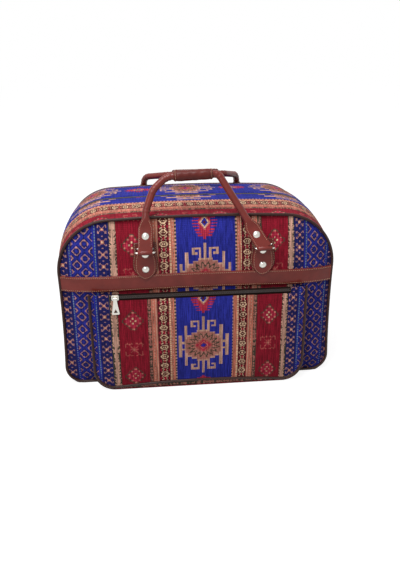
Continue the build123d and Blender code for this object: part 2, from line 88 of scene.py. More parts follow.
class LEATHER_PG_settings(bpy.types.PropertyGroup):
    """Leather and its stitching"""
    colour: FloatVectorProperty(name="Leather", description="Reddish brown leather", size=3,
                                default=linear("#75231A"), subtype="COLOR")
    stitch_pitch: FloatProperty(name="Stitch pitch", description="From one stitch to the next",
                                default=3.6 * MM, unit="LENGTH")
    stitch_inset: FloatProperty(name="Stitch inset", description="From the leather's edge to the stitches",
                                default=2.4 * MM, unit="LENGTH")
    edge: FloatProperty(name="Edge", description="Radius of the rounded leather edges", default=0.9 * MM,
                        unit="LENGTH")


class ZIP_PG_settings(bpy.types.PropertyGroup):
    """Main zip coil"""
    turn_pitch: FloatProperty(name="Turn pitch", description="From one coil turn to the next",
                              default=1.7 * MM, unit="LENGTH")


class STAGE_PG_settings(bpy.types.PropertyGroup):
    """Lights, floor and camera"""
    key_power: FloatProperty(name="Key light", description="Power of the large soft light", default=24.0,
                             unit="POWER")
    sky: FloatProperty(name="Sky", description="Strength of the even surrounding light", default=0.29)
    focal: FloatProperty(name="Focal length", description="Camera lens in millimetres", default=55.71)
    azimuth: FloatProperty(name="Azimuth", description="Camera direction round the bag",
                           default=math.radians(-5.4), subtype="ANGLE")
    elevation: FloatProperty(name="Elevation", description="Camera height angle",
                             default=math.radians(22.5), subtype="ANGLE")
    roll: FloatProperty(name="Roll", description="Camera roll", default=math.radians(0.4), subtype="ANGLE")
    distance: FloatProperty(name="Distance", description="From the camera to its target", default=1.193,
                            unit="LENGTH")
    seed: IntProperty(name="Seed", description="Seed of everything random", default=7)


def settings(group):
    """One of the groups of settings above."""
    return getattr(bpy.context.scene, group)


# Materials

def add(tree, kind, inputs=None, **values):
    """Adds a node with its settings, and links or sets its inputs."""
    made = tree.nodes.new(kind)
    for key, value in values.items():
        setattr(made, key, value)
    for key, value in (inputs or {}).items():
        socket = made.inputs[key]
        if isinstance(value, bpy.types.NodeSocket):
            tree.links.new(value, socket)
        else:
            socket.default_value = value
    return made


def surface_material(name):
    """A new material with one shader, and its tree and shader node."""
    material = bpy.data.materials.new(name)
    material.use_nodes = True
    tree = material.node_tree
    return material, tree, tree.nodes["Principled BSDF"]


MIX_LOW, MIX_HIGH, MIXED = 6, 7, 2   # a Mix node's colour sockets, by their place


def blend_colours(tree, factor, low, high):
    """A colour between two colours, each a value or a socket."""
    ramp = add(tree, "ShaderNodeMix", {"Factor": factor}, data_type="RGBA")
    for index, colour in ((MIX_LOW, low), (MIX_HIGH, high)):
        if isinstance(colour, bpy.types.NodeSocket):
            tree.links.new(colour, ramp.inputs[index])
        else:
            ramp.inputs[index].default_value = colour
    return ramp.outputs[MIXED]


def stretched(tree, source, scale):
    """Coordinates with each axis scaled, so that a pattern stretches along one of them."""
    return add(tree, "ShaderNodeMapping", {"Vector": source, "Scale": scale}).outputs["Vector"]


RIB_SCALE = 106.0   # of a Wave texture whose ribs lie 3 mm apart, two woven cells to a rib


def woven_wool():
    """Woven wool on a cotton warp: matt and fuzzy, with ribs across and light and dark streaks along."""
    material, tree, shader = surface_material("woven_wool_kilim")
    threads = add(tree, "ShaderNodeAttribute", attribute_name="thread_colour").outputs["Color"]
    place = add(tree, "ShaderNodeUVMap", uv_map="thread_map").outputs["UV"]
    streak = add(tree, "ShaderNodeTexNoise", {"Vector": stretched(tree, place, (640, 42, 1)), "Scale": 1.0,
                                              "Detail": 3.0}, noise_dimensions="2D").outputs["Fac"]
    darker = add(tree, "ShaderNodeMapRange", {"Value": streak, "From Min": 0.32, "From Max": 0.68,
                                              "To Min": 0.62, "To Max": 1.3}).outputs["Result"]
    toned = add(tree, "ShaderNodeVectorMath", {0: threads, 3: darker}, operation="SCALE").outputs["Vector"]
    tree.links.new(toned, shader.inputs["Base Color"])
    # Weft ribs crossed by warp threads
    ribs = add(tree, "ShaderNodeTexWave", {"Vector": place, "Scale": RIB_SCALE, "Distortion": 0.6,
                                           "Detail": 1.0}, bands_direction="Y").outputs["Fac"]
    warps = add(tree, "ShaderNodeTexWave", {"Vector": place, "Scale": RIB_SCALE, "Distortion": 0.4},
                bands_direction="X").outputs["Fac"]
    weave = add(tree, "ShaderNodeMath", {0: ribs, 1: warps}, operation="ADD").outputs["Value"]
    fuzz = add(tree, "ShaderNodeTexNoise", {"Vector": place, "Scale": 1500.0, "Detail": 2.0}).outputs["Fac"]
    height = add(tree, "ShaderNodeMath", {0: weave, 1: fuzz}, operation="ADD").outputs["Value"]
    bump = add(tree, "ShaderNodeBump", {"Height": height, "Strength": 0.55, "Distance": 0.35 * MM})
    tree.links.new(bump.outputs["Normal"], shader.inputs["Normal"])
    shader.inputs["Roughness"].default_value = 0.92
    shader.inputs["Specular IOR Level"].default_value = 0.12
    shader.inputs["Sheen Weight"].default_value = 0.04
    shader.inputs["Sheen Roughness"].default_value = 0.5
    return material


def leather(name, colour, roughness, coat, grain=900.0):
    """Finished leather: soft gloss over a fine pebbled grain, a little paler where it is rubbed."""
    material, tree, shader = surface_material(name)
    place = add(tree, "ShaderNodeTexCoord").outputs["Object"]
    cloud = add(tree, "ShaderNodeTexNoise", {"Vector": place, "Scale": 38.0, "Detail": 4.0,
                                             "Roughness": 0.6}).outputs["Fac"]
    rubbed = add(tree, "ShaderNodeMapRange", {"Value": cloud, "From Min": 0.35, "From Max": 0.75})
    dark = (*[c * 0.80 for c in colour], 1.0)
    pale = (*[min(1.0, c * 1.22 + 0.004) for c in colour], 1.0)
    tree.links.new(blend_colours(tree, rubbed.outputs["Result"], dark, pale), shader.inputs["Base Color"])
    cells = add(tree, "ShaderNodeTexVoronoi", {"Vector": place, "Scale": grain},
                feature="SMOOTH_F1").outputs["Distance"]
    creases = add(tree, "ShaderNodeTexNoise", {"Vector": place, "Scale": 160.0, "Detail": 5.0}).outputs["Fac"]
    height = add(tree, "ShaderNodeMath", {0: cells, 1: creases}, operation="ADD").outputs["Value"]
    bump = add(tree, "ShaderNodeBump", {"Height": height, "Strength": 0.35, "Distance": 0.4 * MM})
    tree.links.new(bump.outputs["Normal"], shader.inputs["Normal"])
    worn = add(tree, "ShaderNodeMapRange", {"Value": creases, "To Min": roughness - 0.08,
                                            "To Max": roughness + 0.12})
    tree.links.new(worn.outputs["Result"], shader.inputs["Roughness"])
    shader.inputs["Specular IOR Level"].default_value = 0.2
    shader.inputs["Coat Weight"].default_value = coat
    shader.inputs["Coat Roughness"].default_value = 0.16
    return material


def nickel_plate():
    """Nickel-plated steel: bright, with hairline scratches and a faint warm cast."""
    material, tree, shader = surface_material("polished_nickel_plate")
    place = add(tree, "ShaderNodeTexCoord").outputs["Object"]
    hair = add(tree, "ShaderNodeTexNoise", {"Vector": stretched(tree, place, (900, 900, 90)), "Scale": 1.0,
                                            "Detail": 2.0}).outputs["Fac"]
    rough = add(tree, "ShaderNodeMapRange", {"Value": hair, "To Min": 0.16, "To Max": 0.36})
    tree.links.new(rough.outputs["Result"], shader.inputs["Roughness"])
    tone = blend_colours(tree, hair, rgba("#BDBAB2"), rgba("#DAD7D0"))
    tree.links.new(tone, shader.inputs["Base Color"])
    shader.inputs["Metallic"].default_value = 1.0
    return material


def ribbed(name, low, high, scale, roughness, sheen):
    """Plain woven or corded textile, with crossing threads."""
    material, tree, shader = surface_material(name)
    place = add(tree, "ShaderNodeTexCoord").outputs["Object"]
    across = add(tree, "ShaderNodeTexWave", {"Vector": place, "Scale": scale, "Distortion": 0.8},
                 bands_direction="DIAGONAL").outputs["Fac"]
    along = add(tree, "ShaderNodeTexWave", {"Vector": place, "Scale": scale * 0.8, "Distortion": 0.8},
                bands_direction="X").outputs["Fac"]
    threads = add(tree, "ShaderNodeMath", {0: across, 1: along}, operation="MULTIPLY").outputs["Value"]
    tree.links.new(blend_colours(tree, threads, rgba(low), rgba(high)), shader.inputs["Base Color"])
    bump = add(tree, "ShaderNodeBump", {"Height": threads, "Strength": 0.5, "Distance": 0.3 * MM})
    tree.links.new(bump.outputs["Normal"], shader.inputs["Normal"])
    shader.inputs["Roughness"].default_value = roughness
    shader.inputs["Specular IOR Level"].default_value = 0.15
    shader.inputs["Sheen Weight"].default_value = sheen
    return material


def moulded(name, low, high, roughness):
    """Moulded or drawn plastic, with slight flow marks."""
    material, tree, shader = surface_material(name)
    place = add(tree, "ShaderNodeTexCoord").outputs["Object"]
    flow = add(tree, "ShaderNodeTexNoise", {"Vector": place, "Scale": 260.0, "Detail": 3.0}).outputs["Fac"]
    tree.links.new(blend_colours(tree, flow, rgba(low), rgba(high)), shader.inputs["Base Color"])
    bump = add(tree, "ShaderNodeBump", {"Height": flow, "Strength": 0.2, "Distance": 0.2 * MM})
    tree.links.new(bump.outputs["Normal"], shader.inputs["Normal"])
    shader.inputs["Roughness"].default_value = roughness
    return material


MATERIALS = {}


def material(name):
    """Each finish is made once, when a piece first asks for it."""
    if name not in MATERIALS:
        brown = tuple(settings("bag_leather").colour)
        makers = {
            "wool": woven_wool,
            "leather": lambda: leather("glazed_cowhide_brown", brown, 0.42, 0.34),
            "patch": lambda: leather("glazed_cowhide_dark", tuple(c * 0.62 for c in brown), 0.46, 0.15),
            "piping": lambda: leather("calf_piping_dark_brown", linear("#341812"), 0.42, 0.12, 700.0),
            "nickel": nickel_plate,
            "tape": lambda: ribbed("woven_polyester_zip_tape", "#180C0A", "#2C1814", 520.0, 0.8, 0.0),
            "lining": lambda: ribbed("plain_weave_cotton_lining", "#4A3B30", "#5E4C3E", 420.0, 0.9, 0.1),
            "cord": lambda: ribbed("twisted_cotton_cord", "#8F7F62", "#B5A585", 300.0, 0.9, 0.1),
            "coil": lambda: moulded("drawn_nylon_coil", "#1D1513", "#33241F", 0.4),
            "board": lambda: moulded("pressed_fibre_board", "#2C2926", "#3A3631", 0.85),
            "thread": lambda: ribbed("bonded_polyester_thread", "#C29A7C", "#E2C0A2", 900.0, 0.6, 0.1),
        }
        MATERIALS[name] = makers[name]()
    return MATERIALS[name]


def dress(node, name):
    """Gives a CAD node a procedural finish."""
    mesh = NODES[node].data
    mesh.materials.clear()
    mesh.materials.append(material(name))
    mesh.polygons.foreach_set("use_smooth", [True] * len(mesh.polygons))


# Measuring the CAD nodes

def solid_tree(*names):
    """One search tree over several CAD nodes."""
    points, faces = [], []
    for name in names:
        mesh = NODES[name].data
        start = len(points)
        points += [v.co.copy() for v in mesh.vertices]
        faces += [[start + i for i in p.vertices] for p in mesh.polygons]
    return BVHTree.FromPolygons(points, faces)


def smooth(field, times):
    """Averages each value with its neighbours, which takes the facets out of a measured surface."""
    for _ in range(times):
        padded = np.pad(field, 1, mode="edge")
        field = (padded[:-2, 1:-1] + padded[2:, 1:-1] + padded[1:-1, :-2] + padded[1:-1, 2:]
                 + 4 * padded[1:-1, 1:-1]) / 8
    return field


def fill(field):
    """Spreads known values outwards over the unknown ones."""
    if np.isnan(field).all():
        raise ValueError("no ray met the CAD face, so there is nothing to lay a piece on")
    field = field.copy()
    while np.isnan(field).any():
        padded = np.pad(field, 1, constant_values=np.nan)
        near = np.stack([padded[:-2, 1:-1], padded[2:, 1:-1], padded[1:-1, :-2], padded[1:-1, 2:]])
        known = ~np.isnan(near)
        total = np.where(known, near, 0).sum(0)
        count = known.sum(0)
        gap = np.isnan(field) & (count > 0)
        field[gap] = total[gap] / count[gap]
    return field


def sample(field, rows, columns):
    """Values of a grid between its points, at fractional row and column numbers."""
    rows = np.clip(rows, 0, field.shape[0] - 1.001)
    columns = np.clip(columns, 0, field.shape[1] - 1.001)
    r, c = rows.astype(int), columns.astype(int)
    fr, fc = rows - r, columns - c
    return ((field[r, c] * (1 - fr) + field[r + 1, c] * fr) * (1 - fc)
            + (field[r, c + 1] * (1 - fr) + field[r + 1, c + 1] * fr) * fc)


class Face:
    """The outer face of a CAD node as seen from the front: y for each x and z, in metres."""

    def __init__(self, node, step=3 * MM, times=3):
        tree = solid_tree(node)
        low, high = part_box(node)
        self.low, self.step = low, step
        xs = np.arange(low.x - step, high.x + 2 * step, step)
        zs = np.arange(low.z - step, high.z + 2 * step, step)
        field = np.full((len(xs), len(zs)), np.nan)
        for i, x in enumerate(xs):
            for j, z in enumerate(zs):
                hit = tree.ray_cast(Vector((x, low.y - 0.1, z)), Vector((0, 1, 0)))[0]
                if hit is not None:
                    field[i, j] = hit.y
        self.field = smooth(fill(field), times)

    def y(self, x, z):
        """y of the face at x and z."""
        return sample(self.field, (np.asarray(x, float) - self.low.x) / self.step + 1,
                      (np.asarray(z, float) - self.low.z) / self.step + 1)

    def lift(self, x, z, height):
        """Points at a height above the face, along its outward normal."""
        x, z = np.broadcast_arrays(np.asarray(x, float), np.asarray(z, float))
        d = 2 * MM
        slope_x = (self.y(x + d, z) - self.y(x - d, z)) / (2 * d)
        slope_z = (self.y(x, z + d) - self.y(x, z - d)) / (2 * d)
        length = np.sqrt(1 + slope_x ** 2 + slope_z ** 2)
        return np.stack([x + height * slope_x / length, self.y(x, z) - height / length,
                         z + height * slope_z / length], -1)


class Round:
    """A shell round the Y axis through a centre: radius for each angle and y, in metres."""

    def __init__(self, nodes, centre, y_low, y_high, columns=26, count=720, times=2):
        tree = solid_tree(*nodes)
        self.centre = centre
        self.angles = np.linspace(-math.pi, math.pi, count, endpoint=False)
        self.ys = np.linspace(y_low, y_high, columns)
        field = np.full((count, columns), np.nan)
        for i, angle in enumerate(self.angles):
            way = Vector((math.cos(angle), 0, math.sin(angle)))
            for j, y in enumerate(self.ys):
                hit = tree.ray_cast(Vector((centre[0], y, centre[1])) + 0.6 * way, -way)[0]
                if hit is not None:
                    field[i, j] = math.hypot(hit.x - centre[0], hit.z - centre[1])
        wide = np.concatenate([field[-8:], field, field[:8]])
        self.field = smooth(fill(wide), times)

    def at(self, angle, y, grow=0.0):
        """Points on the shell, or outside it by a distance."""
        rows = (np.asarray(angle) + math.pi) / (2 * math.pi) * len(self.angles) + 8
        columns = (np.asarray(y) - self.ys[0]) / (self.ys[1] - self.ys[0])
        radius = sample(self.field, rows, columns) + grow
        return np.stack(np.broadcast_arrays(self.centre[0] + radius * np.cos(angle), y,
                                            self.centre[1] + radius * np.sin(angle)), -1)

    def paced(self, first, last, y, step):
        """Angles between two angles that are a step apart along the shell at y, and their distances."""
        fine = np.linspace(first, last, 4000)
        points = self.at(fine, np.full(4000, y))
        run = np.concatenate([[0], np.cumsum(np.linalg.norm(np.diff(points, axis=0), axis=1))])
        spots = np.arange(0, run[-1] + step / 2, step)
        spots *= run[-1] / spots[-1]
        return np.interp(spots, run, fine), spots


# Kilim pattern. All its sizes are in millimetres: across is measured from the middle of the medallion
# stripe, and along runs up the warp from the middle of a medallion
(BLUE, PINK, RED, ORANGE, CREAM, TAN, MAROON, GREEN, NAVY, ROSE, TEAL, SAND, CRIMSON, ROSEWOOD,
 SALMON) = range(15)
THREADS = ["#2A2F93", "#B43047", "#8A182A", "#C4725F", "#DFBD9A", "#B07266", "#561720", "#474236", "#22225F",
           "#B5817E", "#7C918C", "#CA9C88", "#9C2236", "#B05650", "#C5786A"]


def zigzag(turns):
    """Falls and rises between -1 and 1 once for each turn."""
    return 4 * np.abs(turns - np.floor(turns + 0.5)) - 1


def nearest(along, pitch, start=0.0):
    """Distance to the nearest of the spots at a pitch."""
    return (along - start + pitch / 2) % pitch - pitch / 2


def stepped(value, step):
    """Values rounded down to whole steps, as the blocks of a woven diamond are."""
    return np.floor(value / step) * step


# Side bars, stem and hooks of a quarter of the medallion: across from and to, along from and to. A bar
# that crosses the middle starts below nought
MEDALLION_BARS = [(28.4, 33.7, -1, 39.6), (38.6, 44, -1, 21), (33, 39, 4.5, 8.5), (-1, 2.4, -1, 56),
                  (6.6, 10.4, -1, 48.5), (6.6, 22, 44.6, 48.5), (18, 22, 37.3, 48.5), (14, 22, 36.5, 39.6)]


def medallion(c, p, q):
    """Stepped medallion with side bars and ram's horn hooks, round its middle."""
    x, z = np.abs(p), np.abs(q)
    top = np.select([x < 11.5, x < 20.5, x < 28.5, x < 33.7], [30, 26, 21, 16.5], 0)
    edge = z < top
    for x_low, x_high, z_low, z_high in MEDALLION_BARS:
        edge |= (x > x_low) & (x < x_high) & (z > z_low) & (z < z_high)
    c[edge] = SAND
    inside = (x < 31) & (z < top - 2.6)
    c[inside] = TAN
    reach = np.hypot(p / 28.0, q / 23.0)
    turn = np.arctan2(q / 23.0, p / 28.0) / (2 * math.pi)
    ring = 0.80 + 0.20 * zigzag(turn * 16)
    c[(reach < ring + 0.09) & inside] = GREEN
    c[reach < ring - 0.09] = TAN
    star = stepped(x, 2.6) / 21 + stepped(z, 2.6) / 17
    c[star < 0.72] = ROSEWOOD
    c[star < 0.5] = PINK
    c[(x / 9 + z / 7.4) < 1] = SALMON
    c[(x / 7.4 + z / 6) < 1] = CRIMSON
    c[(x / 5.2 + z / 4) < 1] = BLUE


def spiked_rosette(c, p, q):
    """Pointed rosette with spikes on its flanks and an eye in its middle."""
    x, z = np.abs(p), np.abs(q)
    spike = np.where(np.abs(nearest(z, 4.6, 2.3)) < 0.9, 11.5 - 0.25 * z, 0.0)
    c[(x < 10.8 - 0.25 * z + spike) & (z < 22)] = PINK
    c[(x < 2.4) & (z > 21) & (z < 26)] = PINK
    c[(x / 10 + z / 12) < 1] = SALMON
    c[(x / 7.6 + z / 9.6) < 1] = CREAM
    c[(x / 5.8 + z / 7.4) < 1] = BLUE
    c[(x / 2.4 + z / 3) < 1] = MAROON


def field_rosette(c, p, q):
    """Diamond of small blocks with a dotted outline and four pale dots, on the red stripe."""
    x, z = np.abs(p), np.abs(q)
    column, row = np.floor(x / 2.6), np.floor(z / 2.7)
    ring, odd = column + row, (column + row * 2) % 2 == 0
    c[(ring == 6) & ((np.floor(x / 1.3) + np.floor(z / 1.35)) % 3 > 0)] = GREEN
    c[ring < 5] = PINK
    c[(ring == 5) & odd] = SALMON
    c[(ring == 3) & (column > 0) & (row > 0)] = CRIMSON
    c[(ring < 2)] = CRIMSON
    c[((np.abs(x - 4.2) < 1.3) & (z < 1.4)) | ((x < 1.4) & (np.abs(z - 4.4) < 1.3))] = CREAM
    c[(x < 1.5) & (z < 1.5)] = PINK


def faint_star(c, p, q):
    """Small star with curls at its corners, little lighter than its ground."""
    x, z = np.abs(p), np.abs(q)
    scallop = 9.5 + 2.2 * np.abs(np.sin(x * math.pi / 8))
    c[(np.abs(z - scallop) < 0.9) & (x > 2) & (x < 16)] = ROSEWOOD
    c[(np.abs(x - 14.5) < 0.9) & (z > 4) & (z < 10)] = ROSEWOOD
    c[(x / 9 + z / 8) < 1] = CRIMSON
    c[(np.abs(x - z) < 1.1) & (x < 6.5)] = ROSEWOOD
    c[((x < 0.9) & (z < 5.5)) | ((z < 0.9) & (x < 6.5))] = ROSEWOOD
    c[(x < 1.6) & (z < 1.6)] = SALMON


def hexagon_chain(c, p, q, pitch):
    """Linked cream hexagons on maroon, with hooks between them and red diamonds beside them."""
    x, z = np.abs(p), np.abs(nearest(q, pitch))
    between = np.abs(nearest(q, pitch, pitch / 2))
    c[x + between < 3.4] = CRIMSON
    c[(x > 6.2) & (x - 5.2 + between < 4.4)] = CRIMSON
    rim = np.maximum(z, x * 0.62 + z * 0.6)
    c[(rim > 3.2) & (rim < 4.8)] = CREAM
    c[(np.abs(x - 1.6) < 0.9) & (z < 1.2)] = CREAM
    c[(np.abs(x - between - 1.2) < 0.9) & (between < 3.6) & (between > 0.8)] = CREAM


def column_flower(c, p, q, pitch):
    """Four-clawed flowers up a narrow column."""
    x, z = np.abs(p), np.abs(nearest(q, pitch))
    c[(np.abs(x - z) < 0.9) & (x > 2) & (x < 5.4)] = ROSE
    c[(np.abs(z - 5.6) < 0.8) & (x > 4.4) & (x < 7.6)] = ROSE
    c[(np.abs(x - 6.9) < 0.8) & (z > 2.6) & (z < 5.6)] = ROSE
    c[(x + z) < 3.4] = ORANGE
    c[(x + z) < 1.8] = CREAM
    c[(x + np.abs(nearest(q, pitch, pitch / 2))) < 1.6] = ROSE


def lattice(c, mask, p, q):
    """Open pointed eyes with dark rims, set in staggered columns."""
    for p_start, q_start in ((-5, 10.6), (9, 22.45)):
        x, z = np.abs(nearest(p, 28, p_start)), np.abs(nearest(q, 23.7, q_start))
        reach = x / 8.6 + z / 8.4
        hollow = np.hypot(x / 4.9, z / 5.3) < 1
        c[mask & (reach > 1.08) & (reach < 1.34) & (x < 8)] = NAVY
        c[mask & (reach < 1)] = ROSE
        c[mask & hollow] = NAVY
        c[mask & (x + z < 3.6)] = BLUE


# Stripes of one thread: from, to, thread, and the pitch and length of its dashes where it is broken
STRIPES = [(49, 52, GREEN, None), (49, 52, SAND, (6, 3)), (52, 58, ORANGE, None), (54, 55.6, SAND, (6, 3)),
           (58, 61, CREAM, None), (58, 61, ORANGE, (4, 1.4)), (61, 80, MAROON, None), (80, 91, ORANGE, None),
           (81.5, 83, SAND, None), (86, 87.6, SAND, (6, 3)), (98, 148, RED, None), (161, 181, NAVY, None),
           (183, 185, TEAL, (4.5, 2.4)), (226.5, 228.5, TEAL, (4.5, 2.4)), (230, 250, NAVY, None)]


def kilim(across, along, chain_pitch=18.5, flower_pitch=20.5, repeat=176.0, rosette_pitch=102.0,
          rosette_start=55.0, shift=0.0):
    """Thread number of each woven cell."""
    t = np.abs(across)
    c = np.full(t.shape, BLUE)

    def stripe(low, high):
        """Cells of the two mirrored stripes between two distances from the middle."""
        return (t >= low) & (t < high)

    def patterned(low, high, draw, *more):
        """Draws a motif down the middle of a stripe."""
        mask = stripe(low, high)
        part = c[mask]
        draw(part, t[mask] - (low + high) / 2, along[mask], *more)
        c[mask] = part

    def ragged(low, high, ground, ticks, depth):
        """A plain stripe whose two edges are broken by uneven slanting ticks."""
        mask = stripe(low, high)
        c[mask] = ground
        inward = np.minimum(t - low, high - t)
        uneven = np.sin(np.floor((along + 0.6 * inward) / 1.6) * 78.2) * 437.6 % 1
        c[mask & (inward < depth * uneven)] = ticks

    centre = stripe(0, 49)
    part = c[centre]
    medallion(part, across[centre] - shift, nearest(along[centre], repeat))
    spiked_rosette(part, across[centre] - shift, nearest(along[centre], repeat, repeat / 2))
    c[centre] = part

    for low, high, thread, dashes in STRIPES:
        broken = True if dashes is None else along % dashes[0] < dashes[1]
        c[stripe(low, high) & broken] = thread
    patterned(61, 80, hexagon_chain, chain_pitch)
    ragged(91, 98, TAN, GREEN, 4.2)
    red = stripe(98, 148)
    part = c[red]
    field_rosette(part, t[red] - 123, nearest(along[red], rosette_pitch, rosette_start))
    faint_star(part, t[red] - 123, nearest(along[red], rosette_pitch, rosette_start - rosette_pitch / 2))
    c[red] = part
    ragged(148, 161, SAND, GREEN, 4.6)
    patterned(161, 181, column_flower, flower_pitch)
    lattice(c, stripe(187, 225), t - 206, along)
    patterned(230, 250, column_flower, flower_pitch)
    return c


def cloth_colours(across, along, **sizes):
    """Linear colours of woven cells, with the uneven dye and the streaks of hand-spun warp."""
    chooser = np.random.default_rng(settings("bag_stage").seed)
    table = np.array([linear(code) for code in THREADS])
    colours = table[kilim(across, along, **sizes)]
    columns = max(2, across.shape[0])
    runs = max(3, across.shape[1] // 14)
    coarse = chooser.normal(0, 1, (columns, runs))
    spots = np.linspace(0, runs - 1.001, across.shape[1])
    low = spots.astype(int)
    share = spots - low
    streaks = coarse[:, low] * (1 - share) + coarse[:, low + 1] * share
    strength = settings("bag_weave").streak
    tone = 1 + strength * 0.5 * streaks + 0.07 * chooser.normal(0, 1, across.shape)
    return np.clip(colours * np.clip(tone, 0.45, 1.7)[..., None], 0, 1)


# Building meshes

def finish_object(name, mesh, body, finish, smooth_faces=True):
    """Links a mesh as a piece that rides on a body."""
    made = bpy.data.objects.new(name, mesh)
    bpy.context.scene.collection.objects.link(made)
    mesh.materials.clear()
    mesh.materials.append(material(finish))
    if smooth_faces:
        mesh.polygons.foreach_set("use_smooth", [True] * len(mesh.polygons))
    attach(made, body)
    return made


def woven(name, points, keep, across, along, flip, sizes=None):
    """A woven sheet on a grid of points, with one colour for each cell.

    across and along are the cloth's own measures at the points, in millimetres."""
    if not keep.any():
        raise ValueError(f"{name} has no woven cells")
    rows, columns = points.shape[:2]
    number = np.arange(rows * columns).reshape(rows, columns)
    corners = np.stack([number[:-1, :-1], number[1:, :-1], number[1:, 1:], number[:-1, 1:]], -1)
    if flip:
        corners = corners[..., ::-1]
    middle = [(m[:-1, :-1] + m[1:, 1:]) / 2 for m in (across, along)]
    colours = cloth_colours(*middle, **(sizes or {}))[keep]
    corners = corners[keep]
    used = np.unique(corners)
    renumber = np.zeros(rows * columns, int)
    renumber[used] = np.arange(len(used))
    mesh = bpy.data.meshes.new(name)
    mesh.from_pydata(points.reshape(-1, 3)[used].tolist(), [], renumber[corners].tolist())
    shade = mesh.attributes.new("thread_colour", "FLOAT_COLOR", "CORNER")
    four = np.repeat(np.concatenate([colours, np.ones((len(colours), 1))], 1), 4, axis=0)
    shade.data.foreach_set("color", four.astype(np.float32).ravel())
    flat = np.stack([across, along], -1).reshape(-1, 2) * MM
    chart = mesh.uv_layers.new(name="thread_map")
    chart.data.foreach_set("uv", flat[corners.ravel()].astype(np.float32).ravel())
    mesh.update()
    return mesh


def pucker(a, b, seed):
    """Soft uneven folds between 0 and 1 over two measures in metres."""
    chooser = np.random.default_rng(seed)
    total = np.zeros(np.broadcast(a, b).shape)
    for size in (0.16, 0.11, 0.07, 0.045):
        for _ in range(3):
            turn, phase = chooser.uniform(0, math.pi), chooser.uniform(0, 2 * math.pi)
            wave = (a * math.cos(turn) + b * math.sin(turn)) * 2 * math.pi / size
            total = total + np.sin(wave + phase) * size
    return np.clip(0.5 + total / 0.9, 0, 1)


def stack(name, sections, closed=False, caps=True):
    """A closed skin through a row of cross sections, each a loop of the same number of points."""
    sections = np.asarray(sections, float)
    rows, around = sections.shape[:2]
    faces = []
    for i in range(rows if closed else rows - 1):
        for j in range(around):
            k, n = (j + 1) % around, (i + 1) % rows
            faces.append((i * around + j, i * around + k, n * around + k, n * around + j))
    if caps and not closed:
        faces.append(tuple(range(around - 1, -1, -1)))
        faces.append(tuple((rows - 1) * around + j for j in range(around)))
    mesh = bpy.data.meshes.new(name)
    mesh.from_pydata(sections.reshape(-1, 3).tolist(), [], faces)
    mesh.update()
    outward(mesh)
    return mesh


def outward(mesh):
    """Turns all faces to point out of their closed skins."""
    made = bmesh.new()
    made.from_mesh(mesh)
    bmesh.ops.remove_doubles(made, verts=made.verts, dist=1e-6)
    bmesh.ops.recalc_face_normals(made, faces=made.faces)
    made.to_mesh(mesh)
    made.free()


def joined(name, meshes):
    """Several meshes as one."""
    points, faces = [], []
    for mesh in meshes:
        start = len(points)
        points += [tuple(v.co) for v in mesh.vertices]
        faces += [[start + i for i in p.vertices] for p in mesh.polygons]
        bpy.data.meshes.remove(mesh)
    made = bpy.data.meshes.new(name)
    made.from_pydata(points, [], faces)
    made.update()
    return made


def laid_strip(name, surface, rows, low, high, edge, back=False, count=9):
    """A leather strip on a face. rows are pairs of edge points (x, z); its edges are rounded."""
    sections = []
    for left, right in rows:
        left, right = np.array(left, float), np.array(right, float)
        width = np.linalg.norm(right - left) or 1e-9
        unit = (right - left) / width
        pull = min(edge, width * 0.45)
        across = [0, pull * 0.35, pull] + list(np.linspace(pull, width - pull, count))[1:-1]
        across += [width - pull, width - pull * 0.35, width]
        heights = [high - edge, high - edge * 0.3, high] + [high] * (count - 2)
        heights += [high, high - edge * 0.3, high - edge]
        across += [width, 0]
        heights += [low, low]
        flat = left + np.outer(across, unit)
        sections.append(surface.lift(flat[:, 0], flat[:, 1], np.array(heights)))
    sections = np.array(sections)
    if back:
        sections[..., 1] *= -1
    return stack(name, sections)


def barrel(name, middle, inner, outer, width, parts=28):
    """A leather loop round a bar along X."""
    sections = []
    rim = min(0.6 * MM, (outer - inner) * 0.3)
    half = width / 2
    loop = [(inner, -half + rim), (inner, half - rim), (inner + rim, half), (outer - rim, half),
            (outer, half - rim), (outer, -half + rim), (outer - rim, -half), (inner + rim, -half)]
    for angle in np.linspace(0, 2 * math.pi, parts, endpoint=False):
        sections.append([(middle[0] + x, middle[1] + r * math.cos(angle), middle[2] + r * math.sin(angle))
                         for r, x in loop])
    return stack(name, sections, closed=True)


# Rows of stitches and coil turns, by geometry nodes

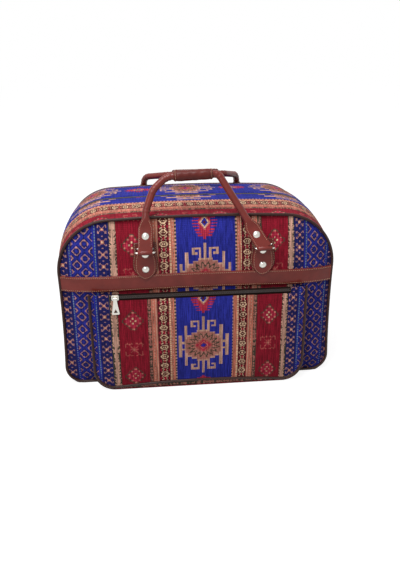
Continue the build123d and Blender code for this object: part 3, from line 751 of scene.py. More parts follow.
def run_tree(name, shape):
    """A node tree that sets a small shape at a pitch along lines, facing their outward vectors."""
    tree = bpy.data.node_groups.new(name, "GeometryNodeTree")
    tree.interface.new_socket(name="Lines", in_out="INPUT", socket_type="NodeSocketGeometry")
    for label in ("Pitch", "Length", "Width", "Height"):
        tree.interface.new_socket(name=label, in_out="INPUT", socket_type="NodeSocketFloat")
    tree.interface.new_socket(name="Finish", in_out="INPUT", socket_type="NodeSocketMaterial")
    tree.interface.new_socket(name="Rows", in_out="OUTPUT", socket_type="NodeSocketGeometry")
    given = add(tree, "NodeGroupInput").outputs
    curve = add(tree, "GeometryNodeMeshToCurve", {"Mesh": given["Lines"]}).outputs["Curve"]
    paced = add(tree, "GeometryNodeResampleCurve", {"Curve": curve, "Length": given["Pitch"]},
                mode="LENGTH").outputs["Curve"]
    tangent = add(tree, "GeometryNodeInputTangent").outputs["Tangent"]
    facing = add(tree, "GeometryNodeInputNamedAttribute", {"Name": "outward"},
                 data_type="FLOAT_VECTOR").outputs["Attribute"]
    turned = add(tree, "FunctionNodeAlignRotationToVector", {"Vector": tangent}, axis="X").outputs["Rotation"]
    turned = add(tree, "FunctionNodeAlignRotationToVector", {"Rotation": turned, "Vector": facing},
                 axis="Z", pivot_axis="X").outputs["Rotation"]
    if shape == "stitch":
        unit = add(tree, "GeometryNodeMeshUVSphere", {"Segments": 8, "Rings": 5, "Radius": 0.5})
        unit = unit.outputs["Mesh"]
    else:
        ring = add(tree, "GeometryNodeCurvePrimitiveCircle", {"Resolution": 10, "Radius": 0.38})
        wire = add(tree, "GeometryNodeCurvePrimitiveCircle", {"Resolution": 5, "Radius": 0.12})
        unit = add(tree, "GeometryNodeCurveToMesh", {"Curve": ring.outputs["Curve"],
                                                    "Profile Curve": wire.outputs["Curve"]}).outputs["Mesh"]
        unit = add(tree, "GeometryNodeTransform", {"Geometry": unit, "Scale": (1, 1, 4),
                                                   "Rotation": (0, math.radians(90), math.radians(14))})
        unit = unit.outputs["Geometry"]
    size = add(tree, "ShaderNodeCombineXYZ", {"X": given["Length"], "Y": given["Width"],
                                              "Z": given["Height"]})
    rows = add(tree, "GeometryNodeInstanceOnPoints", {"Points": paced, "Instance": unit, "Rotation": turned,
                                                      "Scale": size.outputs["Vector"]}).outputs["Instances"]
    solid = add(tree, "GeometryNodeRealizeInstances", {"Geometry": rows}).outputs["Geometry"]
    smooth_shape = add(tree, "GeometryNodeSetShadeSmooth", {"Geometry": solid}).outputs["Geometry"]
    painted = add(tree, "GeometryNodeSetMaterial", {"Geometry": smooth_shape, "Material": given["Finish"]})
    add(tree, "NodeGroupOutput", {"Rows": painted.outputs["Geometry"]})
    return tree


def grow_rows(name, shape, lines, sizes, finish, body):
    """Stitches or coil turns along lines. Each line is (points, outward vectors, closed)."""
    points, outwards, edges = [], [], []
    for line, facing, closed in lines:
        start = len(points)
        points += [tuple(p) for p in line]
        outwards += [tuple(f) for f in facing]
        edges += [(start + i, start + i + 1) for i in range(len(line) - 1)]
        if closed:
            edges.append((start + len(line) - 1, start))
    mesh = bpy.data.meshes.new(name + "_lines")
    mesh.from_pydata(points, edges, [])
    ways = mesh.attributes.new("outward", "FLOAT_VECTOR", "POINT")
    ways.data.foreach_set("vector", np.array(outwards, np.float32).ravel())
    lined = bpy.data.objects.new(name + "_lines", mesh)
    bpy.context.scene.collection.objects.link(lined)
    tree = bpy.data.node_groups.get(shape + "_run") or run_tree(shape + "_run", shape)
    modifier = lined.modifiers.new("rows", "NODES")
    modifier.node_group = tree
    values = {**sizes, "Finish": material(finish)}
    for item in tree.interface.items_tree:
        if item.in_out == "INPUT" and item.name in values:
            modifier[item.identifier] = values[item.name]
    graph = bpy.context.evaluated_depsgraph_get()
    made = bpy.data.meshes.new_from_object(lined.evaluated_get(graph))
    if not made.vertices:
        raise RuntimeError(f"{name} grew nothing along its lines")
    made.name = name
    bpy.data.objects.remove(lined)
    bpy.data.meshes.remove(mesh)
    return finish_object(name, made, body, finish)


def stitch_sizes(pitch, share=0.72, width=0.8 * MM):
    """Sizes of a row of stitches, each as long as a share of the pitch."""
    return {"Pitch": pitch, "Length": pitch * share, "Width": width, "Height": 0.7 * MM}


# The bag's measured surfaces, filled in once by main
SHAPE = {}

BAG_MIDDLE = (0.0, 0.150)
POCKET_MIDDLE = (-0.001, 0.092)
RIM = 0.111                  # half depth of the bag at its piping
SHOULDER = 0.212             # height of the shoulder seams
SHOULDER_REACH = 0.248       # from the bag's middle to a shoulder seam
GUSSET_HALF, GUSSET_SAMPLED = 0.1105, 0.1082   # half depth of the gusset, as woven and as measured
ZIP_HALF, ZIP_SAMPLED = 0.0061, 0.0064         # half width of the main zip's opening, the same way
POCKET_FRONT, POCKET_BACK = -0.1405, -0.1140   # the pocket gusset's y where it is measured
POCKET_RISE, POCKET_REACH = 0.088, 0.205        # from the pocket's middle to its upper ends
CLOTH_OUT = 0.1 * MM         # how far the cloth lies outside its CAD solid
SEAM_DEPTH = 1.2 * MM
HEM = 1.9 * MM               # how far a cloth edge is turned in beside the zip
TEXTILE_MIDDLE = 12.6        # the medallion stripe's middle on the panels, in millimetres
POCKET_TEXTILE_MIDDLE = 6.9  # and on the pocket
POCKET_FIELD = 48.4          # edge of the pocket's blue field; right of it the stripes are cut narrower
FRONT_SEAM = 121             # the cloth's own measure at the gusset's front seam, in millimetres
REAR_STRIP_MIDDLE = 0.0535   # y of the medallion stripe's middle on the rear strip
POCKET_SEAM = 112            # the cloth's own measure at the pocket's front seam
PANEL_MEDALLION, POCKET_MEDALLION = 207, 83    # heights of the medallions' middles, in millimetres
PANEL_HALF, PANEL_LOW, PANEL_TOP, PANEL_INSET = 0.241, 0.002, 0.309, 1.8 * MM
POCKET_LEFT, POCKET_RIGHT, POCKET_LOW, POCKET_TOP, POCKET_INSET = -0.187, 0.185, 0.001, 0.1838, 1.4 * MM
POCKET_SHOULDER, POCKET_TOP_HALF, POCKET_RIM = 0.150, 0.1832, 0.144
POCKET_CLOTH = (-0.1425, -0.1125)              # the woven pocket gusset's y, from and to
SLOT_LOW, SLOT_LEFT, SLOT_RIGHT = 0.1740, -0.148, 0.156    # opening for the pocket zip


def shoulder_angle():
    """Angle above level of a shoulder seam, seen from the bag's middle."""
    return math.asin((SHOULDER - BAG_MIDDLE[1]) / SHOULDER_REACH)


def measure():
    """Samples the CAD faces that the scene's own pieces lie on."""
    SHAPE["panel"] = Face("front_panel")
    SHAPE["pocket"] = Face("pocket_face")
    SHAPE["piping"] = Round(["front_piping"], BAG_MIDDLE, -RIM, -RIM + 1e-4, columns=2)
    SHAPE["pocket_piping"] = Round(["pocket_piping"], POCKET_MIDDLE, -POCKET_RIM, -POCKET_RIM + 1e-4,
                                   columns=2, times=1)
    gusset = ["lower_gusset", "top_strip_front", "top_strip_rear", "main_zip_tape_front",
              "main_zip_tape_rear", "main_zip_coil"]
    SHAPE["front_strip"] = Round(gusset, BAG_MIDDLE, -GUSSET_SAMPLED, -ZIP_SAMPLED, columns=14)
    SHAPE["rear_strip"] = Round(gusset, BAG_MIDDLE, ZIP_SAMPLED, GUSSET_SAMPLED, columns=14)
    SHAPE["gusset"] = Round(["lower_gusset"], BAG_MIDDLE, -GUSSET_SAMPLED, GUSSET_SAMPLED, columns=27)
    SHAPE["pocket_gusset"] = Round(["pocket_gusset"], POCKET_MIDDLE, POCKET_FRONT, POCKET_BACK, columns=6)


def skewed(x):
    """Cloth measure across a panel at x, in millimetres: the right half is drawn a little narrower."""
    d = x / MM - TEXTILE_MIDDLE
    return np.where(d < 60, d, 60 + (d - 60) / 0.9)


def grid(x_low, x_high, z_low, z_high):
    """Points one woven cell apart over a rectangle."""
    cell = settings("bag_weave").cell
    xs = np.linspace(x_low, x_high, int((x_high - x_low) / cell) + 1)
    zs = np.linspace(z_low, z_high, int((z_high - z_low) / cell) + 1)
    return np.meshgrid(xs, zs, indexing="ij")


def within(x, z, shape, middle, inset):
    """Which points lie inside a piping line."""
    angle = np.arctan2(z - middle[1], x - middle[0])
    edge = shape.at(angle, np.full(angle.shape, shape.ys[0]))
    reach = np.hypot(edge[..., 0] - middle[0], edge[..., 2] - middle[1])
    return np.hypot(x - middle[0], z - middle[1]) < reach - inset


class BAG_OT_panels(bpy.types.Operator):
    """Woven front and back panels"""
    bl_idname = "bag.panels"
    bl_label = "Panels"

    def execute(self, context):
        x, z = grid(-PANEL_HALF, PANEL_HALF, PANEL_LOW, PANEL_TOP)
        surface = SHAPE["panel"]
        keep = within(x, z, SHAPE["piping"], BAG_MIDDLE, PANEL_INSET)
        keep = keep[:-1, :-1] & keep[1:, 1:] & keep[1:, :-1] & keep[:-1, 1:]
        for name, node, sign, seed in (("woven_front_panel", "front_panel", 1, 3),
                                       ("woven_back_panel", "back_panel", -1, 11)):
            depth = pucker(x, z, seed) * context.scene.bag_weave.ripple
            points = surface.lift(x, z, CLOTH_OUT - depth)
            across = skewed(x) if sign > 0 else -skewed(-x)
            along = z / MM - PANEL_MEDALLION
            points[..., 1] *= sign
            mesh = woven(name, points, keep, across, along, flip=sign < 0, sizes={"shift": -1.5})
            made = finish_object(name, mesh, "bag", "wool")
            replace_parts(made, node)
        return {"FINISHED"}


class BAG_OT_gusset(bpy.types.Operator):
    """Woven sides, base and top strips"""
    bl_idname = "bag.gusset"
    bl_label = "Gusset"

    def execute(self, context):
        cell = context.scene.bag_weave.cell
        ripple = context.scene.bag_weave.ripple
        for name, node, key, y_low, y_high in (
                ("woven_top_strip_front", "top_strip_front", "front_strip", -GUSSET_HALF, -ZIP_HALF),
                ("woven_top_strip_rear", "top_strip_rear", "rear_strip", ZIP_HALF, GUSSET_HALF)):
            shell = SHAPE[key]
            low = shoulder_angle()
            angles, runs = shell.paced(low, math.pi - low, (y_low + y_high) / 2, cell)
            ys = np.linspace(y_low, y_high, int((y_high - y_low) / cell) + 1)
            angle, y = np.meshgrid(angles, ys, indexing="ij")
            run = np.meshgrid(runs, ys, indexing="ij")[0]
            edge = np.minimum(y - y_low, y_high - y)
            dip = 0.9 * MM * np.exp(-edge / (1.6 * MM)) + 0.3 * ripple * pucker(run, y, 5)
            dip = np.where(edge < cell / 2, HEM, dip) + self.seam(run)
            points = shell.at(angle, y, CLOTH_OUT)
            points = self.sunk(points, angle, dip)
            if key == "front_strip":
                across = FRONT_SEAM - (y + RIM) / MM
            else:
                across = (y - REAR_STRIP_MIDDLE) / MM
            along = run / MM - runs[-1] / MM / 2 - 8
            keep = np.ones((len(angles) - 1, len(ys) - 1), bool)
            mesh = woven(name, points, keep, across, along, flip=True)
            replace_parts(finish_object(name, mesh, "bag", "wool"), node)
        shell = SHAPE["gusset"]
        low = shoulder_angle()
        angles, runs = shell.paced(-math.pi - low + 1e-4, low, 0.0, cell * 1.12)
        wrapped = (angles + math.pi) % (2 * math.pi) - math.pi
        ys = np.linspace(-GUSSET_HALF, GUSSET_HALF, int(2 * GUSSET_HALF / cell) + 1)
        angle, y = np.meshgrid(wrapped, ys, indexing="ij")
        run = np.meshgrid(runs, ys, indexing="ij")[0]
        points = shell.at(angle, y, CLOTH_OUT)
        raised = np.clip(points[..., 2] / (20 * MM), 0, 1)
        edge = np.minimum(y + GUSSET_HALF, GUSSET_HALF - y)
        dip = (0.9 * MM * np.exp(-edge / (1.6 * MM)) + ripple * pucker(run, y, 8)) * raised + self.seam(run)
        points = self.sunk(points, angle, dip)
        points[..., 2] = np.maximum(points[..., 2], 0.0)
        across = FRONT_SEAM - (y + RIM) / MM
        along = run / MM - runs[-1] / MM / 2 + 12
        keep = np.ones((len(angles) - 1, len(ys) - 1), bool)
        mesh = woven("woven_lower_gusset", points, keep, across, along, flip=True)
        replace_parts(finish_object("woven_lower_gusset", mesh, "bag", "wool"), "lower_gusset")
        return {"FINISHED"}

    @staticmethod
    def seam(run):
        """How far the cloth dips at the seams between its strips."""
        return SEAM_DEPTH * np.exp(-np.minimum(run, run.max() - run) / (2 * MM))

    @staticmethod
    def sunk(points, angle, depth):
        """Points moved towards the bag's middle line."""
        moved = points.copy()
        moved[..., 0] -= depth * np.cos(angle)
        moved[..., 2] -= depth * np.sin(angle)
        return moved


class BAG_OT_pocket(bpy.types.Operator):
    """Woven pocket face, its gusset and the lip under it"""
    bl_idname = "bag.pocket"
    bl_label = "Pocket"

    def execute(self, context):
        cell = context.scene.bag_weave.cell
        x, z = grid(POCKET_LEFT, POCKET_RIGHT, POCKET_LOW, POCKET_TOP)
        surface = SHAPE["pocket"]
        inside = within(x, z, SHAPE["pocket_piping"], POCKET_MIDDLE, POCKET_INSET)
        inside |= (z > POCKET_SHOULDER) & (np.abs(x - POCKET_MIDDLE[0]) < POCKET_TOP_HALF)
        slot = (z > SLOT_LOW) & (x > SLOT_LEFT) & (x < SLOT_RIGHT)
        keep = inside & ~slot
        keep = keep[:-1, :-1] & keep[1:, 1:] & keep[1:, :-1] & keep[:-1, 1:]
        depth = pucker(x, z, 21) * context.scene.bag_weave.ripple * 0.8
        points = surface.lift(x, z, CLOTH_OUT - depth)
        d = x / MM - POCKET_TEXTILE_MIDDLE
        across = np.where(d < POCKET_FIELD, d * 1.015, POCKET_FIELD + 1 + (d - POCKET_FIELD) * 1.155)
        mesh = woven("woven_pocket_face", points, keep, across, z / MM - POCKET_MEDALLION, flip=False,
                     sizes={"rosette_start": 52.5, "rosette_pitch": 108.0, "shift": -1.5})
        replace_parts(finish_object("woven_pocket_face", mesh, "bag", "wool"), "pocket_face")
        shell = SHAPE["pocket_gusset"]
        low = math.asin(POCKET_RISE / POCKET_REACH)
        angles, runs = shell.paced(-math.pi - low, low, -0.128, cell)
        wrapped = (angles + math.pi) % (2 * math.pi) - math.pi
        ys = np.linspace(*POCKET_CLOTH, int((POCKET_CLOTH[1] - POCKET_CLOTH[0]) / cell) + 1)
        angle, y = np.meshgrid(wrapped, ys, indexing="ij")
        run = np.meshgrid(runs, ys, indexing="ij")[0]
        points = shell.at(angle, np.clip(y, POCKET_FRONT, POCKET_BACK), CLOTH_OUT)
        points[..., 1] = y
        across = POCKET_SEAM - (y + POCKET_RIM) / MM
        keep = np.ones((len(angles) - 1, len(ys) - 1), bool)
        sides = woven("woven_pocket_gusset", points, keep, across, run / MM, flip=True)
        made = finish_object("woven_pocket_gusset", sides, "bag", "wool")
        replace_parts(made, "pocket_gusset")
        tree = solid_tree("pocket_gusset")
        x, z = grid(-0.175, 0.175, 0.0006, 0.0125)
        depth = np.full(x.shape, np.nan)
        for i in np.ndindex(x.shape):
            hit = tree.ray_cast(Vector((x[i], -0.2, z[i])), Vector((0, 1, 0)), 0.062)[0]
            depth[i] = np.nan if hit is None else hit.y
        known = ~np.isnan(depth)
        keep = known[:-1, :-1] & known[1:, 1:] & known[1:, :-1] & known[:-1, 1:]
        points = np.stack([x, fill(depth) - CLOTH_OUT, z], -1)
        mesh = woven("woven_pocket_lip", points, keep, 100 - z / MM, x / MM, flip=False)
        finish_object("woven_pocket_lip", mesh, "bag", "wool")
        return {"FINISHED"}


# Leather on the panels

BAND_HALF, BAND_LOW, BAND_WIDTH, BAND_BOW = 0.240, 0.181, 0.027, 0.005
CHAPE_XS = {"left": -0.089, "right": 0.108}
LEATHER_LOW, LEATHER_HIGH = 0.2 * MM, 2.2 * MM
TAB_LOW, TAB_HIGH = 2.4 * MM, 4.7 * MM
TAB_FOOT, TAB_TOP, TAB_WIDEST, PATCH_TOP = 0.203, 0.258, 0.228, 0.266
LOOP_INNER, TAB_LOOP_OUTER, HANDLE_LOOP_OUTER = 1.75 * MM, 4.05 * MM, 3.95 * MM
THREAD_OUT = 0.15 * MM       # how far a stitch's middle lies above the leather


def band_edge(x, low):
    """Height at x of a line along the band, which bows up in the middle."""
    return low + BAND_BOW * (1 - (x / BAND_HALF) ** 2)


def tab_half(z):
    """Half width of the pointed oval tab at a height."""
    heights = [0.203, 0.207, 0.211, 0.2165, 0.224, 0.232, 0.240, 0.249, 0.258]
    halves = [0.0, 5.6, 11.6, 15.8, 17.5, 17.7, 16.8, 14.2, 12.0]
    return np.interp(z, heights, halves) * MM


def patch_half(z):
    """Half width of the patch that shows round the tab on all sides."""
    return np.where(z > TAB_WIDEST, np.maximum(tab_half(z), 15.5 * MM), tab_half(z - 3 * MM)) + 3.6 * MM


class BAG_OT_band(bpy.types.Operator):
    """Leather band across the front and the back"""
    bl_idname = "bag.band"
    bl_label = "Leather band"

    def execute(self, context):
        surface = SHAPE["panel"]
        inset = context.scene.bag_leather.stitch_inset
        pitch = context.scene.bag_leather.stitch_pitch
        xs = np.linspace(-0.2352, 0.2352, 160)
        rows = [((x, band_edge(x, BAND_LOW)), (x, band_edge(x, BAND_LOW + BAND_WIDTH))) for x in xs]
        lines = []
        for side, back in (("front", False), ("back", True)):
            mesh = laid_strip("leather_band_" + side, surface, rows, LEATHER_LOW, LEATHER_HIGH,
                              context.scene.bag_leather.edge, back=back)
            self.ripple(mesh)
            made = finish_object("leather_band_" + side, mesh, "bag", "leather")
            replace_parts(made, side + "_band")
            for height in (BAND_LOW + inset, BAND_LOW + BAND_WIDTH - inset):
                line = surface.lift(xs, band_edge(xs, height), LEATHER_HIGH + THREAD_OUT)
                line[:, 1] *= -1 if back else 1
                way = np.tile((0, 1 if back else -1, 0), (len(xs), 1))
                lines.append((line, way, False))
        sizes = stitch_sizes(pitch)
        grow_rows("band_stitches", "stitch", lines, sizes, "thread", "bag")
        return {"FINISHED"}

    @staticmethod
    def ripple(mesh):
        """Shallow waves where the stitching draws the leather in."""
        for v in mesh.vertices:
            wave = math.sin(v.co.x * 95) * math.sin(v.co.x * 41 + 1) * 0.35 * MM
            v.co.y += math.copysign(max(0.0, wave), v.co.y)


class BAG_OT_chapes(bpy.types.Operator):
    """Leather patches and tabs that hold the handle rings"""
    bl_idname = "bag.chapes"
    bl_label = "Chapes"

    def execute(self, context):
        surface = SHAPE["panel"]
        leather_settings = context.scene.bag_leather
        pitch, inset = leather_settings.stitch_pitch * 0.8, leather_settings.stitch_inset
        lines = []
        ring_y = frame_ring_y()
        for face, back in (("front", False), ("back", True)):
            for side, x in CHAPE_XS.items():
                patch_low = band_edge(x, BAND_LOW + BAND_WIDTH) + 0.2 * MM
                zs = np.linspace(patch_low, PATCH_TOP, 26)
                rows = [((x - patch_half(z), z), (x + patch_half(z), z)) for z in zs]
                patch = laid_strip("chape_patch_" + face + "_" + side, surface, rows, LEATHER_LOW,
                                   LEATHER_HIGH, leather_settings.edge, back=back)
                made = finish_object(patch.name, patch, "bag", "patch")
                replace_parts(made, f"{face}_chape_base_{side}")
                zs = TAB_FOOT + (TAB_TOP - TAB_FOOT) * (1 - np.cos(np.linspace(0, math.pi, 30))) / 2
                rows = [((x - tab_half(z) - 1e-5, z), (x + tab_half(z) + 1e-5, z)) for z in zs]
                tab = laid_strip("tab", surface, rows, TAB_LOW, TAB_HIGH, leather_settings.edge, back=back)
                loop = barrel("loop", (x, (1 if back else -1) * ring_y, TAB_TOP), LOOP_INNER, TAB_LOOP_OUTER,
                              2 * STRAP_HALF)
                mesh = joined("chape_tab_" + face + "_" + side, [tab, loop])
                made = finish_object(mesh.name, mesh, "bag", "leather")
                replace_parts(made, f"{face}_chape_{side}")
                lines += self.stitch_lines(surface, x, inset, back, patch_low)
        sizes = stitch_sizes(pitch)
        grow_rows("chape_stitches", "stitch", lines, sizes, "thread", "bag")
        return {"FINISHED"}

    @staticmethod
    def stitch_lines(surface, x, inset, back, patch_low):
        """Lines of stitches round a tab and up both sides of its patch."""
        lines = []
        zs = np.concatenate([np.linspace(0.252, 0.207, 30), np.linspace(0.207, 0.252, 30)[1:]])
        signs = np.array([-1] * 30 + [1] * 29)
        oval = x + signs * np.maximum(tab_half(zs) - inset, 0.2 * MM)
        lines.append(surface.lift(oval, zs, TAB_HIGH + THREAD_OUT))
        for sign in (-1, 1):
            zs = np.linspace(patch_low + inset, PATCH_TOP - inset, 20)
            side = x + sign * (patch_half(zs) - inset * 0.8)
            lines.append(surface.lift(side, zs, LEATHER_HIGH + THREAD_OUT))
        ways = []
        for line in lines:
            line[:, 1] *= -1 if back else 1
            ways.append((line, np.tile((0, 1 if back else -1, 0), (len(line), 1)), False))
        return ways


def frame_ring_y():
    """Distance of the loops' axis from the bag's middle plane, from the ring joint."""
    return next(abs(j["pos_m"][1]) for j in frame["joints"] if j["name"] == "front_ring_swing")


def frame_bar():
    """The ring's far bar, on which a handle hangs: (distance from the middle plane, height)."""
    spot = next(j["pos_m"] for j in frame["joints"] if j["name"] == "front_handle_swing")
    return abs(spot[1]), spot[2]


# Handles. Their corners are seen from the front: x, and the distance up the leaning loop, in metres
HANDLES = {
    "front": {"inner": [(-85, 68), (-72, 102), (-49.5, 122.5), (35.5, 125.5)], "radii": [40, 40, 30, 14],
              "lean": 22, "bend": 0, "droop": 22, "grip": 3},
    "back": {"inner": [(-84, 74), (-40, 125), (66, 125), (98, 74)], "radii": [26, 14, 14, 26],
             "lean": 26, "bend": 74, "droop": 75, "grip": 2},
}
STRAP_LENGTH, STRAP_TAPER = 38 * MM, 21 * MM
STRAP_HALF, STRAP_PLY, TUBE_RADIUS = 12 * MM, 2.2 * MM, 6 * MM
GRIPS = {"front": {"length": 0.064, "radius": 8.8 * MM}, "back": {"length": 0.088, "radius": 7.8 * MM}}
GRIP_SEAM, GRIP_SEAM_OFFSET = 9.3 * MM, 2.6 * MM   # height and sideways place of the back wrap's seam
GRIP_AROUND = 40             # points round a grip


def handle_corners(spec):
    """Corners of a handle's line on the front of the bag."""
    bar_y, bar_z = frame_bar()
    low, high = math.radians(spec["lean"]), math.radians(spec["droop"])
    corners = []
    for x, up in [(CHAPE_XS["left"] / MM, 0)] + spec["inner"] + [(CHAPE_XS["right"] / MM, 0)]:
        leg = min(up, spec["bend"])
        rest = up - leg
        corners.append((x * MM, -bar_y + (leg * math.sin(low) + rest * math.sin(high)) * MM,
                        bar_z + (leg * math.cos(low) + rest * math.cos(high)) * MM))
    return np.array(corners)


def rounded_line(corners, radii, step):
    """A line through corners with each inner corner rounded, at even steps."""
    points = [corners[0]]
    for i, radius in enumerate(radii, 1):
        a, b, c = corners[i - 1], corners[i], corners[i + 1]
        into, out = (a - b) / np.linalg.norm(a - b), (c - b) / np.linalg.norm(c - b)
        half = math.acos(np.clip(into @ out, -1, 1)) / 2
        reach = radius * MM / math.tan(half)
        centre = b + (into + out) / np.linalg.norm(into + out) * radius * MM / math.sin(half)
        start, end = b + into * reach - centre, b + out * reach - centre
        angle = math.acos(np.clip(start @ end / (radius * MM) ** 2, -1, 1))
        for share in np.linspace(0, 1, 16):
            weight = np.sin([(1 - share) * angle, share * angle]) / math.sin(angle)
            points.append(centre + weight[0] * start + weight[1] * end)
    points.append(corners[-1])
    points = np.array(points)
    run = np.concatenate([[0], np.cumsum(np.linalg.norm(np.diff(points, axis=0), axis=1))])
    spots = np.linspace(0, run[-1], int(run[-1] / step) + 1)
    return np.stack([np.interp(spots, run, points[:, k]) for k in range(3)], -1), spots


def ease(share):
    """A share from 0 to 1 that starts and ends softly."""
    share = np.clip(share, 0, 1)
    return share * share * (3 - 2 * share)


def handle_frames(line, spec):
    """Tangent, side and face vectors along a handle's line."""
    tangent = np.gradient(line, axis=0)
    tangent /= np.linalg.norm(tangent, axis=1)[:, None]
    bar_y, bar_z = frame_bar()
    low, high = math.radians(spec["lean"]), math.radians(spec["droop"])
    knee = bar_z + spec["bend"] * MM * math.cos(low)
    lean = low + (high - low) * ease((line[:, 2] - knee + 6 * MM) / (12 * MM)) if spec["bend"] else low
    face = np.stack(np.broadcast_arrays(0 * line[:, 0], -np.cos(lean), np.sin(lean)), -1)
    face = face - (face * tangent).sum(1)[:, None] * tangent
    face /= np.linalg.norm(face, axis=1)[:, None]
    side = np.cross(tangent, face)
    return tangent, side, face


def superloop(half_wide, half_thick, power, count=28):
    """A rounded loop between a flat strap's section and a round tube's."""
    angle = np.linspace(0, 2 * math.pi, count, endpoint=False)
    c, s = np.cos(angle), np.sin(angle)
    return (half_wide * np.sign(c) * np.abs(c) ** (2 / power),
            half_thick * np.sign(s) * np.abs(s) ** (2 / power))


class BAG_OT_handles(bpy.types.Operator):
    """Rolled leather handles with their grips and stitching"""
    bl_idname = "bag.handles"
    bl_label = "Handles"

    def execute(self, context):
        for name, spec in HANDLES.items():
            back = name == "back"
            corners = handle_corners(spec)
            line, run = rounded_line(corners, spec["radii"], 1.6 * MM)
            tangent, side, face = handle_frames(line, spec)
            total = run[-1]
            from_end = np.minimum(run, total - run)
            share = ease((from_end - STRAP_LENGTH) / STRAP_TAPER)
            wide = STRAP_HALF + (TUBE_RADIUS - STRAP_HALF) * share
            thick = STRAP_PLY + (TUBE_RADIUS - STRAP_PLY) * share
            power = 7 - 5 * share
            bend = np.linalg.norm(np.gradient(tangent, axis=0), axis=1) / 1.6
            sections = []
            for i in range(len(line)):
                u, v = superloop(wide[i], thick[i], power[i])
                crease = 1 + share[i] * min(1, bend[i] * 60) * 0.05 * math.sin(run[i] * 2 * math.pi / 0.0065)
                sections.append(line[i] + np.outer(u * crease, side[i]) + np.outer(v * crease, face[i]))
            body = stack("tube", self.turned(sections, back))
            loops = [barrel("loop", (c[0], -c[1] if back else c[1], c[2]), LOOP_INNER,
                            HANDLE_LOOP_OUTER, 2 * STRAP_HALF) for c in (corners[0], corners[-1])]
            mesh = joined("leather_handle_" + name, [body] + loops)
            made = finish_object(mesh.name, mesh, name + "_handle", "leather")
            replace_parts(made, name + "_handle")
            inset = context.scene.bag_leather.stitch_inset
            edge = wide - inset
            crown = thick * (1 - (edge / wide) ** power) ** (1 / power) + THREAD_OUT
            flat = (from_end > 10 * MM) & (from_end < STRAP_LENGTH + 0.7 * STRAP_TAPER)
            rows = []
            for leg in (run < total / 2, run >= total / 2):
                for across, out in ((-1, 1), (1, 1), (-1, -1), (1, -1)):
                    pick = flat & leg
                    spots = (line + side * (across * edge)[:, None] + face * (out * crown)[:, None])[pick]
                    rows.append((self.turned(spots, back), self.turned(out * face[pick], back), False))
            pitch = context.scene.bag_leather.stitch_pitch * 0.8
            sizes = stitch_sizes(pitch)
            grow_rows("strap_stitches_" + name, "stitch", rows, sizes, "thread",
                      name + "_handle")
            self.sleeve(context, name, spec, corners, back)
        return {"FINISHED"}

    @staticmethod
    def turned(sections, back):
        """Points as they are, or mirrored to the back of the bag."""
        sections = np.array(sections)
        if back:
            sections[..., 1] *= -1
        return sections

    def sleeve(self, context, name, spec, corners, back):
        """The grip in the middle of a handle."""
        first = spec["grip"]
        low, high = corners[first], corners[first + 1]
        along = (high - low) / np.linalg.norm(high - low)

        def straight(corner, other, radius):
            """How much of the grip's line a rounded corner takes up."""
            into = (other - corner) / np.linalg.norm(other - corner)
            turn = math.acos(np.clip(-(into @ along) * (1 if corner is low else -1), -1, 1))
            return radius * MM * math.tan(turn / 2)

        start = low + along * straight(low, corners[first - 1], spec["radii"][first - 1])
        end = high - along * straight(high, corners[first + 2], spec["radii"][first])
        middle = (start + end) / 2
        up = np.array((0, 0, 1.0)) - along * along[2]
        up /= np.linalg.norm(up)
        side = np.cross(up, along)
        length, grip = GRIPS[name]["length"], GRIPS[name]["radius"]
        runs = np.linspace(-length / 2, length / 2, 70)
        sections, stitches = [], []
        angles = np.linspace(0, 2 * math.pi, GRIP_AROUND, endpoint=False)
        for s in runs:
            ends = length / 2 - abs(s)
            radius = np.full(GRIP_AROUND, grip)
            if back:
                fin = np.exp(-((angles - math.pi / 2) / 0.30) ** 2)
                groove = np.exp(-((angles - math.pi / 2) / 0.09) ** 2)
                radius += (2.0 * fin - 1.6 * groove) * MM
            else:
                radius += 0.22 * MM * np.sin(angles * 3 + s * 90) * np.sin(s * 400)
            radius -= 1.4 * MM * np.exp(-ends / (1.2 * MM))
            radius -= 0.5 * MM * np.exp(-((ends - 5 * MM) / (0.8 * MM)) ** 2)
            spots = middle + along * s
            sections.append(spots + np.outer(radius * np.cos(angles), side)
                            + np.outer(radius * np.sin(angles), up))
        mesh = stack("grip", self.turned(sections, back))
        node = "back_handle_wrap" if back else "front_handle_grip"
        made = finish_object("leather_grip_" + name, mesh, name + "_handle", "patch")
        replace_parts(made, node)
        pitch = context.scene.bag_leather.stitch_pitch * 0.7
        for offset in (-length / 2 + 2.4 * MM, length / 2 - 2.4 * MM):
            spots = middle + along * offset
            ring = spots + np.outer(grip * np.cos(angles), side) + np.outer(grip * np.sin(angles), up)
            ring = self.turned(ring[None], back)[0]
            ways = ring - self.turned(np.array([[spots]]), back)[0]
            stitches.append((ring, ways / np.linalg.norm(ways, axis=1)[:, None], True))
        if back:
            spots = np.linspace(-length / 2 + 4 * MM, length / 2 - 4 * MM, 30)
            line = self.turned(np.array([middle + along * s + up * GRIP_SEAM for s in spots]), back)
            line[:, 1] += GRIP_SEAM_OFFSET
            stitches.append((line, np.tile((0, 0, 1), (30, 1)), False))
        sizes = stitch_sizes(pitch, 0.7, 0.7 * MM)
        grow_rows("grip_stitches_" + name, "stitch", stitches, sizes, "thread",
                  name + "_handle")


